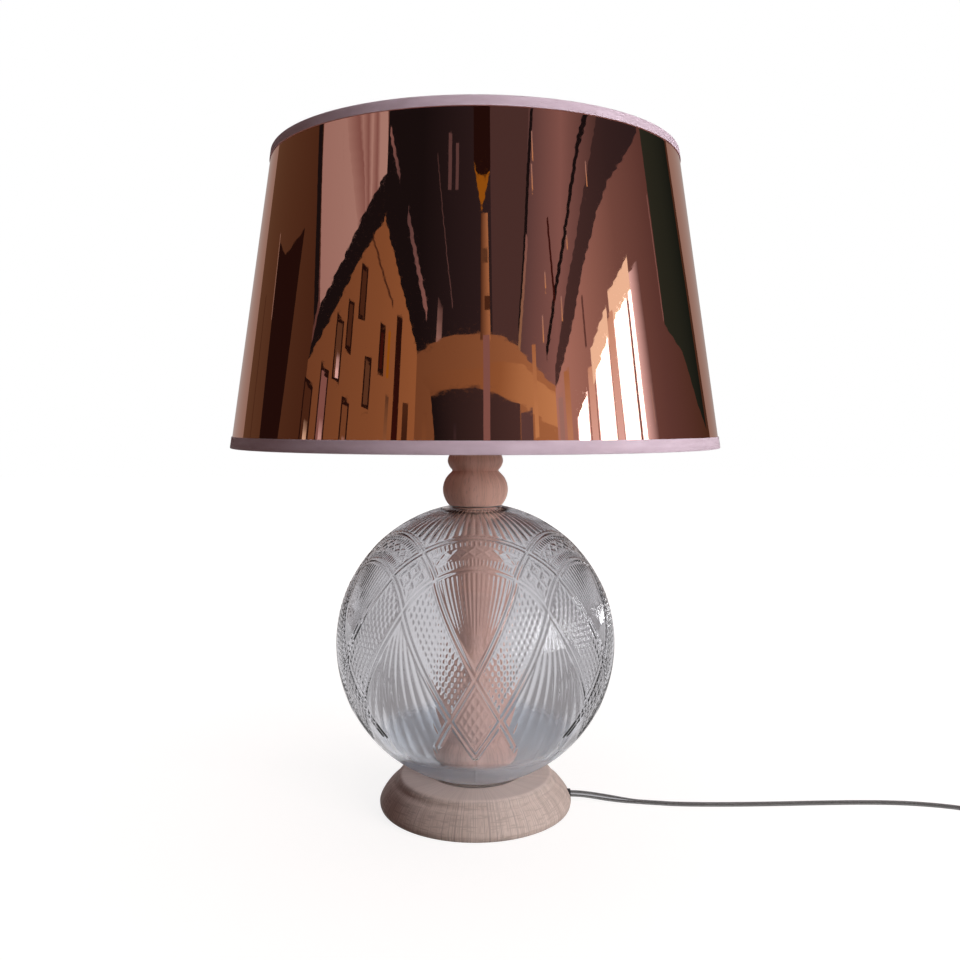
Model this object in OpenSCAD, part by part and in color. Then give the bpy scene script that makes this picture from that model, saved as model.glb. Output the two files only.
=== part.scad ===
// Globe table lamp: a pressed-glass ball on a turned wooden foot, a copper foil shade and a clear flat flex.
// Millimetres, +Z up. The origin lies on the table under the middle of the foot. The flex leaves along +X.

/* [Foot] */
// Widest radius of the wooden foot
foot_r = 71.7; // [68:0.1:80]
// Height of the foot's top face above the table
foot_h = 24; // [21:0.5:32]
// How far the foot's top edge lies inside its widest radius
foot_flare = 15.2; // [8:0.1:20]
// How far the foot's lower rim lies inside its widest radius
foot_undercut = 1.7; // [0.5:0.1:4]
// Height of the foot's widest point above the table
foot_belly_h = 4.5; // [3:0.1:8]
// Radius of the nut well under the foot
well_r = 26; // [20:0.5:34]
// Height of the well's ceiling above the table
well_h = 17; // [16:0.5:18]
// Radius of the felt pad under the foot
felt_r = 62; // [50:0.5:64]
// Thickness of the felt pad
felt_t = 1.5; // [1:0.1:2]
// How far the felt stands proud of the wood
felt_proud = 0.3; // [0.1:0.1:0.6]
// Height of the boss on the foot that centres the glass
boss_h = 2.5; // [1:0.1:3]

/* [Glass globe] */
// Outer radius of the glass ball
globe_r = 103; // [95:0.5:112]
// Thickness of the glass
glass_t = 3.5; // [2.5:0.1:5]
// Radius of the mouth in the bottom of the ball
globe_mouth_r = 30; // [29.5:0.1:33]
// Radius of the eye in the top of the ball
globe_eye_r = 15; // [13:0.1:16]
// Width of the ring ground flat round each opening
ground_w = 2.4; // [1.5:0.1:3]
// Thickness of the gaskets between glass and wood
gasket_t = 1; // [0.5:0.1:2]
// Width of the gaskets
gasket_w = 3.8; // [3:0.1:4.5]

/* [Inner column] */
// Radius of the column where it stands on the foot
column_foot_r = 22; // [18:0.5:26]
// Radius of the column's lower bulb
column_bulb_r = 28.5; // [24:0.5:29]
// Height of the lower bulb's widest point above the column's foot
column_bulb_h = 36; // [28:1:44]
// Radius of the column's waist
column_waist_r = 13; // [10:0.5:16]
// Height of the waist above the column's foot
column_waist_h = 96; // [84:1:104]
// Radius of the column's shoulder
column_shoulder_r = 21; // [17:0.5:24]
// Height of the shoulder above the column's foot
column_shoulder_h = 136; // [124:1:144]
// Radius of the column's top
column_top_r = 17.5; // [16:0.1:18]

/* [Neck] */
// Radius of the neck where it stands on the glass
neck_foot_r = 19.8; // [19:0.1:22]
// Radius of the neck's bulb
neck_bulb_r = 24.2; // [22:0.1:27]
// Height of the bulb's widest point above the neck's foot
neck_bulb_h = 11.5; // [9:0.5:13]
// Radius of the groove above the bulb
neck_waist_r = 17; // [15:0.1:19]
// Height of the groove above the neck's foot
neck_waist_h = 25.8; // [22:0.1:28]
// Radius of the bead above the groove
neck_bead_r = 20.5; // [19.5:0.1:23]
// Radius of the neck's top edge
neck_top_r = 18; // [17:0.1:19]
// Height of the neck
neck_h = 39.8; // [36:0.1:46]
// Length of the spigot that enters the glass
spigot_h = 6; // [5:0.1:8]

/* [Tube and nut] */
// Outer radius of the threaded tube
tube_r = 5; // [4.5:0.1:6]
// Radius of the tube's bore
tube_bore_r = 3.6; // [3.2:0.1:4]
// Height of the nut under the foot
nut_h = 4.5; // [3:0.1:5]
// Corner radius of the nut
nut_r = 9.8; // [8.5:0.1:12]
// Radius of the washer above the nut
washer_r = 16; // [12:0.5:18]
// Thickness of the washer
washer_t = 1.2; // [0.8:0.1:1.6]

/* [Lamp holder] */
// Outer radius of the holder's cap and body
holder_r = 18.5; // [18:0.1:20]
// Wall of the holder
holder_wall = 2; // [1.5:0.1:2.4]
// Height of the holder
holder_h = 54; // [53:0.5:58]
// Height of the cap, where it meets the body
cap_h = 22; // [20:0.5:25]
// Height of the solid end of the cap, which screws onto the tube
cap_floor_h = 8; // [6:0.5:10]
// Height of the ledge that carries the insert
ledge_h = 16; // [15:0.5:17]
// Thickness of the insert
insert_t = 10; // [9:0.5:11]
// Outer radius of the threaded skirt
skirt_r = 19.8; // [19.8:0.1:20.6]
// Outer radius of the screw shell
shell_r = 15.4; // [14.6:0.1:15.6]
// Height of the shade's seat above the holder's foot
seat_h = 36; // [34:0.5:40]
// Outer radius of the shade rings
ring_r = 25.5; // [24:0.1:26]
// Height of each shade ring
ring_h = 5; // [4:0.5:6]

/* [Bulb] */
// Radius of the bulb
bulb_r = 30; // [25:0.5:35]
// Height of the bulb from contact to crown
bulb_h = 106; // [96:1:120]
// Thickness of the bulb's glass
bulb_glass_t = 0.9; // [0.6:0.1:1.5]
// Height of the bulb's cap above its contact
bulb_cap_h = 27; // [26:0.5:30]
// Mean radius of the cap's thread
thread_r = 12.6; // [12.3:0.05:12.8]
// Half the depth of the thread
thread_depth = 0.55; // [0.4:0.05:0.6]
// Rise of the thread in one turn
thread_pitch = 3.63; // [3:0.01:4]

/* [Shade] */
// Outer radius of the shade's lower edge
shade_bottom_r = 175; // [160:1:190]
// Outer radius of the shade's upper edge
shade_top_r = 144.5; // [130:0.5:158]
// Height of the shade
shade_h = 205; // [190:1:230]
// Thickness of the foil laminate
skin_t = 0.8; // [0.5:0.1:1.2]
// Height of the tape round each edge
tape_h = 8; // [6:0.5:12]
// Thickness of the tape
tape_t = 0.5; // [0.3:0.1:0.8]
// Radius of the frame wire
wire_r = 1.6; // [1.2:0.1:2]
// Height of the fitter plate above the shade's lower edge
fitter_rise = 33; // [25:0.5:40]
// Radius of the hole in the fitter plate
fitter_hole_r = 21; // [20.8:0.1:22]
// Outer radius of the fitter plate
fitter_r = 27; // [26.5:0.1:30]
// Thickness of the fitter plate
fitter_t = 1.5; // [1.2:0.1:2]
// Number of spokes
spokes = 3; // [3:1:4]

/* [Flex] */
// Width of the flat flex
flex_w = 5; // [4.6:0.1:5.2]
// Thickness of the flat flex
flex_t = 2.5; // [2.2:0.1:2.8]
// Height of the flex's exit above the table
exit_h = 6.5; // [6:0.1:8]
// Length of the bush in the exit
bush_l = 12; // [8:0.5:20]
// Wall of the bush
bush_wall = 0.9; // [0.6:0.1:1.2]
// Turns in the coil
coil_turns = 6.5; // [4.5:1:7.5]
// Radius of the coil's outermost turn
coil_r = 41; // [38:0.5:46]
// Gap between neighbouring turns
coil_gap = 0.6; // [0.5:0.1:1]
// Width of the tie round the coil
tie_w = 9; // [5:0.5:14]
// Thickness of the tie
tie_t = 0.5; // [0.4:0.1:0.8]

/* [Inline switch] */
// Length of the switch
switch_l = 60; // [56:0.5:64]
// Width of the switch
switch_w = 24; // [22:0.5:28]
// Height of the switch's case
switch_h = 15; // [14.5:0.1:18]
// Height of the joint between the two halves of the case
switch_split_h = 7; // [6.8:0.1:8]
// Wall of the switch's case
switch_wall = 2; // [1.6:0.1:2.2]
// Height of the flex in the switch
entry_h = 5; // [4.8:0.1:5.2]
// Length of the rocker
rocker_l = 25; // [20:0.5:28]
// Width of the rocker
rocker_w = 11.4; // [10:0.1:12]
// Tilt of the rocker to each side of level
rocker_tilt = 8; // [5:0.5:10]
// Depth of the rocker's pivot below the top of the case
pivot_depth = 3.8; // [3.6:0.1:4.2]
// Radius of the rocker's pivot pins
pivot_r = 1.5; // [1.2:0.1:1.6]

/* [Plug] */
// Length of the plug's body
plug_l = 35; // [32:0.5:38]
// Width of the plug's front
plug_w = 26; // [25:0.5:28]
// Width of the plug's rear
plug_rear_w = 13; // [12:0.5:16]
// Height of the plug's body
plug_h = 13.7; // [13:0.1:15]
// Radius of a pin
pin_r = 2; // [1.9:0.05:2.4]
// Length of a pin
pin_l = 19; // [17:0.5:20]
// Distance between the pins
pin_pitch = 18.6; // [17.5:0.1:19]
// Radius of a pin inside its sleeve and the plug
pin_core_r = 1.5; // [1.3:0.05:1.6]
// Length of a pin's sleeve
sleeve_l = 10; // [8:0.5:11]
// Length of the plug's ribbed strain relief
relief_l = 24; // [20:0.5:30]

/* [Hidden] */
$fn = 96;

// Clearances
slip = 0.2;        // between pieces that slide together by hand
seat_gap = 0.1;    // on each side of the turning fitter plate
glass_play = 0.4;  // between the wood and the rims of the glass
laid = 0.1;        // between the tape, the foil and the wire
run = 0.05;        // round a pivot pin
thread_play = 0.35; // between the bulb's thread and its shell
contact_play = 0.3; // between contacts that meet when switched on
lip_play = 1.2;    // between the bulb's cap and the holder's lip
bush_play = 0.15;  // between the flex and its bush
table_gap = 0.05;  // under the flex where it lies on the table
tie_gap = 0.1;     // between the coil's lower layer and the tie
layer_gap = 0.55;  // between the coil's layers
entry_play = 0.6;  // round the flex where it enters the switch
weld_gap = 0.6;    // between a spoke and the fitter plate
over = 1;          // how far a cutter runs past a face

// Colours
beech = [0.80, 0.64, 0.52];
steel = [0.72, 0.72, 0.74];
brass = [0.80, 0.64, 0.32];
clear = [0.78, 0.80, 0.84, 0.5];
copper = [0.55, 0.28, 0.18];
mauve = [0.72, 0.63, 0.68];
white = [0.92, 0.91, 0.89];
black = [0.10, 0.10, 0.11];
cream = [0.93, 0.86, 0.66];
flex_grey = [0.66, 0.65, 0.64, 0.7];
felt_green = [0.16, 0.20, 0.18];

// The foot's flank falls away with this power of the height above its belly
flank_power = 1.4;

// Heights, from the table upwards
boss_top = foot_h + boss_h;
mouth_flat_r = globe_mouth_r + ground_w;
eye_flat_r = globe_eye_r + ground_w;
globe_z = foot_h + gasket_t + sqrt(globe_r * globe_r - mouth_flat_r * mouth_flat_r);
globe_top = globe_z + sqrt(globe_r * globe_r - eye_flat_r * eye_flat_r);
neck_z = globe_top + gasket_t;
column_h = neck_z - spigot_h - boss_top;
holder_z = neck_z + neck_h;
tube_overhang = 1;
tube_bottom = well_h - washer_t - nut_h - tube_overhang;
tube_top = holder_z + cap_floor_h;

// Holder and bulb
insert_top = ledge_h + insert_t;
holder_bore_r = holder_r - holder_wall;
holder_lip_h = 2;
lip_r = thread_r + thread_depth + lip_play;
skirt_rise = 6;
skirt_z = cap_h + skirt_rise;
skirt_h = 22;
skirt_chamfer = 1;
contact_strip_t = 0.6;
contact_h = 2.4;
contact_r = 2.4;
bulb_z = holder_z + insert_top + contact_h + contact_play;
bulb_tip_h = 1.5;
bulb_tip_r = 3.6;
bulb_tip_root_r = 4.8;
insulator_h = 6;
insulator_r = 5.4;
cap_skirt_h = 3;
cap_r = thread_r + thread_depth;
cap_root_r = thread_r - thread_depth;
bulb_neck_r = cap_r - 0.1;
stem_h = 36;
stem_r = 2;
flare_r = 8;
flare_h = 12;
filament_r = 0.9;
filament_ring_r = 8;
filament_l = 26;
filament_z = bulb_cap_h + 6;
support_t = 0.6;
hub_r = 6;

// Shade: the skin leans inwards, and its radius falls in a straight line
lean = (shade_bottom_r - shade_top_r) / shade_h;
fitter_z = holder_z + seat_h + seat_gap;
shade_z = fitter_z - fitter_rise;
shade_top_z = shade_z + shade_h;
skin_off = tape_t + laid;
wire_off = skin_off + skin_t + laid + wire_r;
inner_off = wire_off + wire_r + laid;
bottom_wire_z = shade_z + tape_t + laid + wire_r;
top_wire_z = shade_top_z - tape_t - laid - wire_r;
bottom_wire_ring_r = shade_edge_r(bottom_wire_z) - wire_off;
top_wire_ring_r = shade_edge_r(top_wire_z) - wire_off;
spoke_start = [fitter_r + weld_gap, fitter_z + fitter_t / 2];
spoke_end = [bottom_wire_ring_r, bottom_wire_z];
spoke_run = spoke_end - spoke_start;
spoke_l = norm(spoke_run) - wire_r - laid;

// Switch and plug places on the table
switch_x = 392;
switch_y = -94;
pivot_z = switch_h - pivot_depth;
case_round = 4;
edge_round = 2;
post_x = switch_l / 2 - 8;
post_y = switch_w / 2 - 5;
post_r = 2.6;
screw_r = 1.05;
screw_head_r = 2.2;
screw_head_h = 0.85;
screw_l = 8;
screw_room = 1;
screw_recess = 0.15;
post_root = 0.5;
rocker_end_h = 5;
rocker_dip = 1.4;
rocker_depth = 3.2;
rocker_flat = 5;
rocker_edge_h = 0.5;
rocker_side_gap = 0.4;
rocker_end_gap = 1;
ear_t = 2.2;
ear_w = 6;
ear_drop = 2.8;
bridge_l = 18;
bridge_w = 4;
bridge_t = 0.6;
bridge_low_z = pivot_z - (rocker_depth + bridge_t) * cos(rocker_tilt)
    - bridge_l / 2 * sin(rocker_tilt);
cord_grip = 8;     // how far the flex reaches into the switch
cord_mouth = 2;    // how far it runs level there
coil_x = switch_x + coil_r;
plug_x = coil_x + coil_r;
plug_z = plug_h / 2;
relief_tip_y = -140;
plug_rear_y = relief_tip_y + relief_l;
relief_wall = 0.7;
relief_tip_r = flex_w / 2 + relief_wall;
relief_root_r = 5.2;
relief_ribs = 6;
rib_depth = 0.7;
pin_seat = 8;
sleeve_r = pin_r - 0.2;

// Flex: exit, coil and laid heights
bush_bore_r = flex_w / 2 + bush_play;
bush_r = bush_bore_r + bush_wall;
bush_proud = 0.4;
exit_x = foot_flank_r(exit_h) + bush_proud;
laid_z = flex_t / 2 + table_gap;
coil_y = -172;
coil_pitch = flex_w + coil_gap;
coil_steps = 24;
coil_low_z = tie_t + tie_gap + flex_t / 2;
coil_layer = flex_t + layer_gap;
coil_angle = 180;
coil_straight = flex_w;
coil_sides = 6;
flex_sides = 10;
inner_sides = 8;
flex_steps = 2;
tie_angle = 300;

// The route of the flex on the table, point by point
lead_route = concat(
    [[exit_x, 0, exit_h], [exit_x + 4, 0, exit_h - 0.1]],
    [[84, 0, 5.6], [94, -0.2, 4.1], [104, -0.8, 2.7], [114, -2, 1.7], [124, -3.6, laid_z]],
    [[136, -5.6, laid_z], [150, -7.6, laid_z], [172, -8.6, laid_z], [200, -8.5, laid_z]],
    [[230, -7.5, laid_z], [260, -6.2, laid_z], [290, -5.6, laid_z], [316, -6.6, laid_z]],
    [[338, -10, laid_z], [358, -16, laid_z], [374, -25.5, laid_z], [385, -38, laid_z]],
    [[391, -50, 2.6], [switch_x, -59, entry_h - 0.8]],
    [[switch_x, switch_y + switch_l / 2 - cord_mouth, entry_h]],
    [[switch_x, switch_y + switch_l / 2 - cord_grip, entry_h]]);
tail_route = concat(
    [[switch_x, switch_y - switch_l / 2 + cord_grip, entry_h]],
    [[switch_x, switch_y - switch_l / 2 + cord_mouth, entry_h]],
    [[switch_x, -130, entry_h - 0.8], [switch_x, -140, 3.3], [switch_x, -150, 2.2]],
    [[switch_x, -159, coil_low_z], [switch_x, coil_y + coil_straight, coil_low_z]]);
end_route = [[plug_x, coil_y + coil_straight, coil_low_z + coil_layer], [plug_x, -161, 5.2],
    [plug_x, -154, 5.9], [plug_x, -147, 6.6], [plug_x, relief_tip_y, plug_z]];
flex_inner_route = [[0, 0, holder_z + cap_floor_h + 3], [0, 0, holder_z], [0, 0, globe_top], [0, 0, globe_z],
    [0, 0, foot_h], [0, 0, well_h], [0.2, 0, 12.5], [1.4, 0, 8.6], [4.2, 0, 5.8], [9, 0, 4.6],
    [16, 0, 5.2], [well_r, 0, exit_h], [foot_r - 20, 0, exit_h], [exit_x - 4, 0, exit_h],
    [exit_x, 0, exit_h]];

// Shared functions

// Radius of the foot's outer surface at a height
function foot_flank_r(z) = z < foot_belly_h
    ? let (v = (foot_belly_h - z) / (foot_belly_h - felt_proud))
        foot_r - foot_undercut * (1 - sqrt(max(0, 1 - v * v)))
    : foot_r - foot_flare * pow((z - foot_belly_h) / (foot_h - foot_belly_h), flank_power);

// Outer radius of the shade, over its tape, at a height
function shade_edge_r(z) = shade_bottom_r - (z - shade_z) * lean;

// A lobe that swells from its ends to its middle, for v from -1 to 1
function swell(end_r, mid_r, v, fullness) = end_r + (mid_r - end_r) * pow(max(0, 1 - v * v), fullness);

// A smooth curve through points, with a number of steps between neighbours
function curve_point(a, b, c, d, t) = 0.5 * (2 * b + (c - a) * t + (2 * a - 5 * b + 4 * c - d) * t * t
    + (3 * b - a - 3 * c + d) * t * t * t);
function curve(p, steps) = concat([for (i = [0:len(p) - 2], k = [0:steps - 1])
    curve_point(i == 0 ? 2 * p[0] - p[1] : p[i - 1], p[i], p[i + 1],
        i == len(p) - 2 ? 2 * p[i + 1] - p[i] : p[i + 2], k / steps)], [p[len(p) - 1]]);

function unit(v) = v / norm(v);
function heading(p, i) = unit(p[min(i + 1, len(p) - 1)] - p[max(i - 1, 0)]);

// Rings of a flat flex along a path; side_hint is the direction of its width, or undef to lie flat
function flex_rings(path, sides, side_hint) = [for (i = [0:len(path) - 1])
    let (t = heading(path, i))
    let (side = is_undef(side_hint) ? unit(cross([0, 0, 1], t)) : side_hint)
    let (up = cross(t, side))
    [for (k = [0:sides - 1]) let (a = 360 * k / sides)
        path[i] + side * (flex_w / 2 * cos(a)) + up * (flex_t / 2 * sin(a))]];

// Side walls of a tube of rings, two triangles to a cell, and its two ends
function ring_walls(rows, sides) = [for (i = [0:rows - 2], k = [0:sides - 1], half = [0, 1])
    let (a = i * sides + k, b = i * sides + (k + 1) % sides)
    half == 0 ? [a, a + sides, b] : [b, a + sides, b + sides]];
function ring_ends(rows, sides) = [[for (k = [0:sides - 1]) k],
    [for (k = [0:sides - 1]) rows * sides - 1 - k]];

// The coil: it spirals in and out again, and climbs a layer in the half turn where it reverses
function coil_radius(turn) = coil_r - coil_pitch * (coil_turns / 2 - abs(turn - coil_turns / 2));
function coil_climb(turn) = min(1, max(0, (turn - coil_turns / 2 + 0.25) / 0.5));
function coil_point(turn) = [
    coil_x + coil_radius(turn) * cos(coil_angle + 360 * turn),
    coil_y + coil_radius(turn) * sin(coil_angle + 360 * turn),
    coil_low_z + coil_layer * coil_climb(turn)];
coil_path = concat([coil_point(0) + [0, coil_straight, 0]],
    [for (k = [0:coil_turns * coil_steps]) coil_point(k / coil_steps)],
    [coil_point(coil_turns) + [0, coil_straight, 0]]);

// Length of a path, and the least distance between points of rings that lie about whole turns apart
function path_length(p) = len(p) < 2 ? 0 : sum([for (i = [1:len(p) - 1]) norm(p[i] - p[i - 1])]);
function sum(v, i = 0) = i == len(v) - 1 ? v[i] : v[i] + sum(v, i + 1);
function least_gap(rings) = min([for (i = [0:len(rings) - 1], turn = [1:floor(coil_turns)], near = [-1:1])
    let (j = i + turn * coil_steps + near) if (j < len(rings))
    min([for (a = rings[i], b = rings[j]) norm(a - b)])]);

// Shared shapes

module flex(path, sides, side_hint = undef) {
    rings = flex_rings(path, sides, side_hint);
    rows = len(rings);
    polyhedron(points = [for (r = rings, q = r) q],
        faces = concat(ring_walls(rows, sides), ring_ends(rows, sides)), convexity = 10);
}

// A bar with a sine thread; its crests climb with the angle, as on a right-hand screw
module thread_bar(mean_r, z_low, z_high) {
    sides = 24;
    rows_per_turn = 6;
    rows = ceil((z_high - z_low) / thread_pitch * rows_per_turn) + 1;
    rise = (z_high - z_low) / (rows - 1);
    points = [for (i = [0:rows - 1], k = [0:sides - 1])
        let (z = z_low + i * rise, a = 360 * k / sides)
        let (r = mean_r + thread_depth * sin(360 * (z - bulb_z) / thread_pitch - a))
        [r * cos(a), r * sin(a), z]];
    polyhedron(points = points, faces = concat(ring_walls(rows, sides), ring_ends(rows, sides)),
        convexity = 10);
}

// A flat ring
module washer(outer_r, inner_r, z_low, h) {
    translate([0, 0, z_low]) difference() {
        cylinder(r = outer_r, h = h);
        translate([0, 0, -over]) cylinder(r = inner_r, h = h + 2 * over);
    }
}

// A rectangle with round corners, and a box of it whose long edges are rounded too
module round_rect(l, w, r) {
    square([l - 2 * r, w], center = true);
    square([l, w - 2 * r], center = true);
    for (x = [-1, 1], y = [-1, 1]) translate([x * (l / 2 - r), y * (w / 2 - r)]) circle(r = r);
}

// Where things lie on the table
module at_switch() {
    translate([switch_x, switch_y, 0]) rotate([0, 0, -90]) children();
}
module at_rocker() {
    at_switch() translate([0, 0, pivot_z]) rotate([0, -rocker_tilt, 0]) children();
}
module at_plug() {
    translate([plug_x, plug_rear_y, plug_z]) rotate([0, 0, 90]) children();
}

// The foot and what is under it

module wood_base() {
    steps = 16;
    lower = [for (k = [0:steps]) let (z = felt_proud + (foot_belly_h - felt_proud) * k / steps)
        [foot_flank_r(z), z]];
    upper = [for (k = [1:steps]) let (z = foot_belly_h + (foot_h - foot_belly_h) * k / steps)
        [foot_flank_r(z), z]];
    boss_r = globe_mouth_r - glass_play;
    color(beech) difference() {
        rotate_extrude() polygon(concat([[0, felt_proud]], lower, upper,
            [[boss_r, foot_h], [boss_r, boss_top], [0, boss_top]]));
        translate([0, 0, felt_proud - over]) cylinder(r = felt_r + slip, h = felt_t - felt_proud + over);
        cylinder(r = well_r, h = well_h);
        cylinder(r = tube_r + slip, h = boss_top + over);
        translate([0, 0, exit_h]) rotate([0, 90, 0]) cylinder(r = bush_r + slip / 2, h = foot_r + over);
    }
}

module felt_pad() {
    color(felt_green) cylinder(r = felt_r, h = felt_t);
}

module base_washer() {
    color(steel) washer(washer_r, tube_r + slip, well_h - washer_t, washer_t);
}

module base_nut() {
    color(brass) translate([0, 0, well_h - washer_t - nut_h]) difference() {
        cylinder(r = nut_r, h = nut_h, $fn = 6);
        translate([0, 0, -over]) cylinder(r = tube_r + slip / 2, h = nut_h + 2 * over);
    }
}

module cord_bush() {
    color(white) translate([exit_x - bush_l, 0, exit_h]) rotate([0, 90, 0])
        washer(bush_r, bush_bore_r, 0, bush_l);
}

module inner_flex() {
    color(flex_grey) flex(curve(flex_inner_route, flex_steps), inner_sides, [0, 1, 0]);
}

module threaded_tube() {
    color(steel) washer(tube_r, tube_bore_r, tube_bottom, tube_top - tube_bottom);
}

// The glass, its gaskets and the turned wood

module lower_gasket() {
    color(clear) washer(globe_mouth_r + gasket_w, globe_mouth_r, foot_h, gasket_t);
}

module glass_globe() {
    color(clear) difference() {
        translate([0, 0, globe_z]) difference() {
            sphere(r = globe_r, $fn = 128);
            sphere(r = globe_r - glass_t, $fn = 128);
        }
        cylinder(r = globe_mouth_r, h = globe_z);
        cylinder(r = 2 * globe_mouth_r, h = foot_h + gasket_t);
        translate([0, 0, globe_z]) cylinder(r = globe_eye_r, h = globe_r + over);
        translate([0, 0, globe_top]) cylinder(r = 2 * globe_eye_r, h = globe_r);
    }
}

module upper_gasket() {
    color(clear) washer(globe_eye_r + gasket_w, globe_eye_r, globe_top, gasket_t);
}

module inner_column() {
    fillet_h = 5;
    fillet_out = 1;
    steps = 10;
    outline = curve([[column_foot_r, 0], [column_foot_r + fillet_out, fillet_h],
        [column_bulb_r, column_bulb_h], [column_waist_r, column_waist_h],
        [column_shoulder_r, column_shoulder_h],
        [column_top_r, column_h]], steps);
    color(beech) translate([0, 0, boss_top]) difference() {
        rotate_extrude() polygon(concat([[0, 0]], outline, [[0, column_h]]));
        translate([0, 0, -over]) cylinder(r = tube_r + slip, h = column_h + 2 * over);
    }
}

module wood_neck() {
    steps = 14;
    spigot_r = globe_eye_r - glass_play;
    bead_h = (neck_h - neck_waist_h) / 2;
    swelling = [for (k = [0:steps]) let (v = 1 - k / steps)
        [neck_foot_r + (neck_bulb_r - neck_foot_r) * (1 - v * v), neck_bulb_h * (1 - v)]];
    falling = [for (k = [1:steps]) let (v = k / steps)
        [swell(neck_waist_r, neck_bulb_r, v, fullness = 0.75),
            neck_bulb_h + (neck_waist_h - neck_bulb_h) * v]];
    bead = [for (k = [1:steps]) let (v = 2 * k / steps - 1)
        [swell(v < 0 ? neck_waist_r : neck_top_r, neck_bead_r, v, fullness = 0.6),
            neck_waist_h + bead_h * (1 + v)]];
    color(beech) translate([0, 0, neck_z]) difference() {
        rotate_extrude() polygon(concat([[0, -spigot_h], [spigot_r, -spigot_h], [spigot_r, 0]],
            swelling, falling, bead, [[0, neck_h]]));
        translate([0, 0, -spigot_h - over]) cylinder(r = tube_r + slip, h = neck_h + spigot_h + 2 * over);
    }
}

// The lamp holder

module holder_cap() {
    chamfer = 3;
    color(white) translate([0, 0, holder_z]) difference() {
        rotate_extrude() polygon([[0, 0], [holder_r - chamfer, 0], [holder_r, chamfer], [holder_r, cap_h],
            [0, cap_h]]);
        translate([0, 0, -over]) cylinder(r = tube_r + slip / 2, h = cap_h);
        translate([0, 0, cap_floor_h]) cylinder(r = holder_bore_r - holder_wall, h = cap_h);
        translate([0, 0, ledge_h]) cylinder(r = holder_bore_r, h = cap_h);
    }
}

module holder_insert() {
    color(white) translate([0, 0, holder_z + ledge_h]) cylinder(r = holder_bore_r - slip, h = insert_t);
}

module terminal_blocks() {
    block = [6, 5, 4];
    block_x = 7;
    clamp_r = 1.6;
    clamp_out = 1;
    color(brass) for (side = [-1, 1]) translate([side * block_x, 0, holder_z + ledge_h - block[2] / 2]) {
        cube(block, center = true);
        rotate([0, side * 90, 0]) cylinder(r = clamp_r, h = block[0] / 2 + clamp_out);
    }
}

module centre_contact() {
    strip = [10, 5];
    color(brass) translate([0, 0, holder_z + insert_top]) {
        linear_extrude(contact_strip_t) square(strip, center = true);
        cylinder(r = contact_r, h = contact_h);
    }
}

module screw_shell() {
    z_low = holder_z + insert_top;
    z_high = holder_z + holder_h - holder_lip_h - slip;
    color(brass) difference() {
        translate([0, 0, z_low]) cylinder(r = shell_r, h = z_high - z_low);
        thread_bar(thread_r + thread_play, z_low - over, z_high + over);
    }
}

module holder_body() {
    color(white) translate([0, 0, holder_z]) difference() {
        rotate_extrude() polygon([[0, cap_h], [holder_r, cap_h], [holder_r, skirt_z],
            [skirt_r, skirt_z + skirt_chamfer], [skirt_r, skirt_z + skirt_h],
            [holder_r, skirt_z + skirt_h + skirt_chamfer], [holder_r, holder_h], [0, holder_h]]);
        translate([0, 0, cap_h - over])
            cylinder(r = holder_bore_r, h = holder_h - cap_h - holder_lip_h + over);
        translate([0, 0, cap_h]) cylinder(r = lip_r, h = holder_h);
    }
}

module shade_ring(z_low) {
    flutes = 24;
    flute_r = 1.2;
    flute_depth = 0.6;
    color(white) difference() {
        washer(ring_r, skirt_r + slip, z_low, ring_h);
        for (k = [0:flutes - 1]) rotate([0, 0, 360 * k / flutes])
            translate([ring_r + flute_r - flute_depth, 0, z_low - over])
                cylinder(r = flute_r, h = ring_h + 2 * over);
    }
}

module lower_ring() {
    shade_ring(holder_z + seat_h - ring_h);
}

module upper_ring() {
    shade_ring(holder_z + seat_h + fitter_t + 2 * seat_gap);
}

// The shade

module fitter_ring() {
    color(steel) washer(fitter_r, fitter_hole_r, fitter_z, fitter_t);
}

// The spokes slope down from the fitter plate to the lower wire ring
module spoke_rods(rod_r) {
    slope = atan2(spoke_run[1], spoke_run[0]);
    for (k = [0:spokes - 1]) rotate([0, 0, 90 + 360 * k / spokes])
        translate([spoke_start[0], 0, spoke_start[1]]) rotate([0, 90 - slope, 0])
            cylinder(r = rod_r, h = spoke_l);
}

module fitter_spokes() {
    color(steel) spoke_rods(wire_r);
}

module wire_ring(ring_r, z) {
    color(steel) rotate_extrude() translate([ring_r, z]) circle(r = wire_r, $fn = 32);
}

module bottom_wire() {
    wire_ring(bottom_wire_ring_r, bottom_wire_z);
}

module top_wire() {
    wire_ring(top_wire_ring_r, top_wire_z);
}

module shade_skin() {
    z_low = shade_z + tape_t + laid;
    z_high = shade_top_z - tape_t - laid;
    color(copper) rotate_extrude($fn = 192) polygon([
        [shade_edge_r(z_low) - skin_off, z_low],
        [shade_edge_r(z_high) - skin_off, z_high],
        [shade_edge_r(z_high) - skin_off - skin_t, z_high],
        [shade_edge_r(z_low) - skin_off - skin_t, z_low]]);
}

// Tape folded over an edge of the shade; rise is 1 at the lower edge and -1 at the upper
module trim(edge_z, rise) {
    web_z = edge_z + rise * tape_t;
    leg_z = edge_z + rise * tape_h;
    color(mauve) rotate_extrude($fn = 192) polygon([
        [shade_edge_r(edge_z), edge_z], [shade_edge_r(leg_z), leg_z],
        [shade_edge_r(leg_z) - tape_t, leg_z], [shade_edge_r(web_z) - tape_t, web_z],
        [shade_edge_r(web_z) - inner_off, web_z], [shade_edge_r(leg_z) - inner_off, leg_z],
        [shade_edge_r(leg_z) - inner_off - tape_t, leg_z],
        [shade_edge_r(edge_z) - inner_off - tape_t, edge_z]]);
}

// The tape's inner leg is notched where the spokes reach the wire
module bottom_trim() {
    color(mauve) difference() {
        trim(shade_z, 1);
        spoke_rods(wire_r + slip);
    }
}

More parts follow.
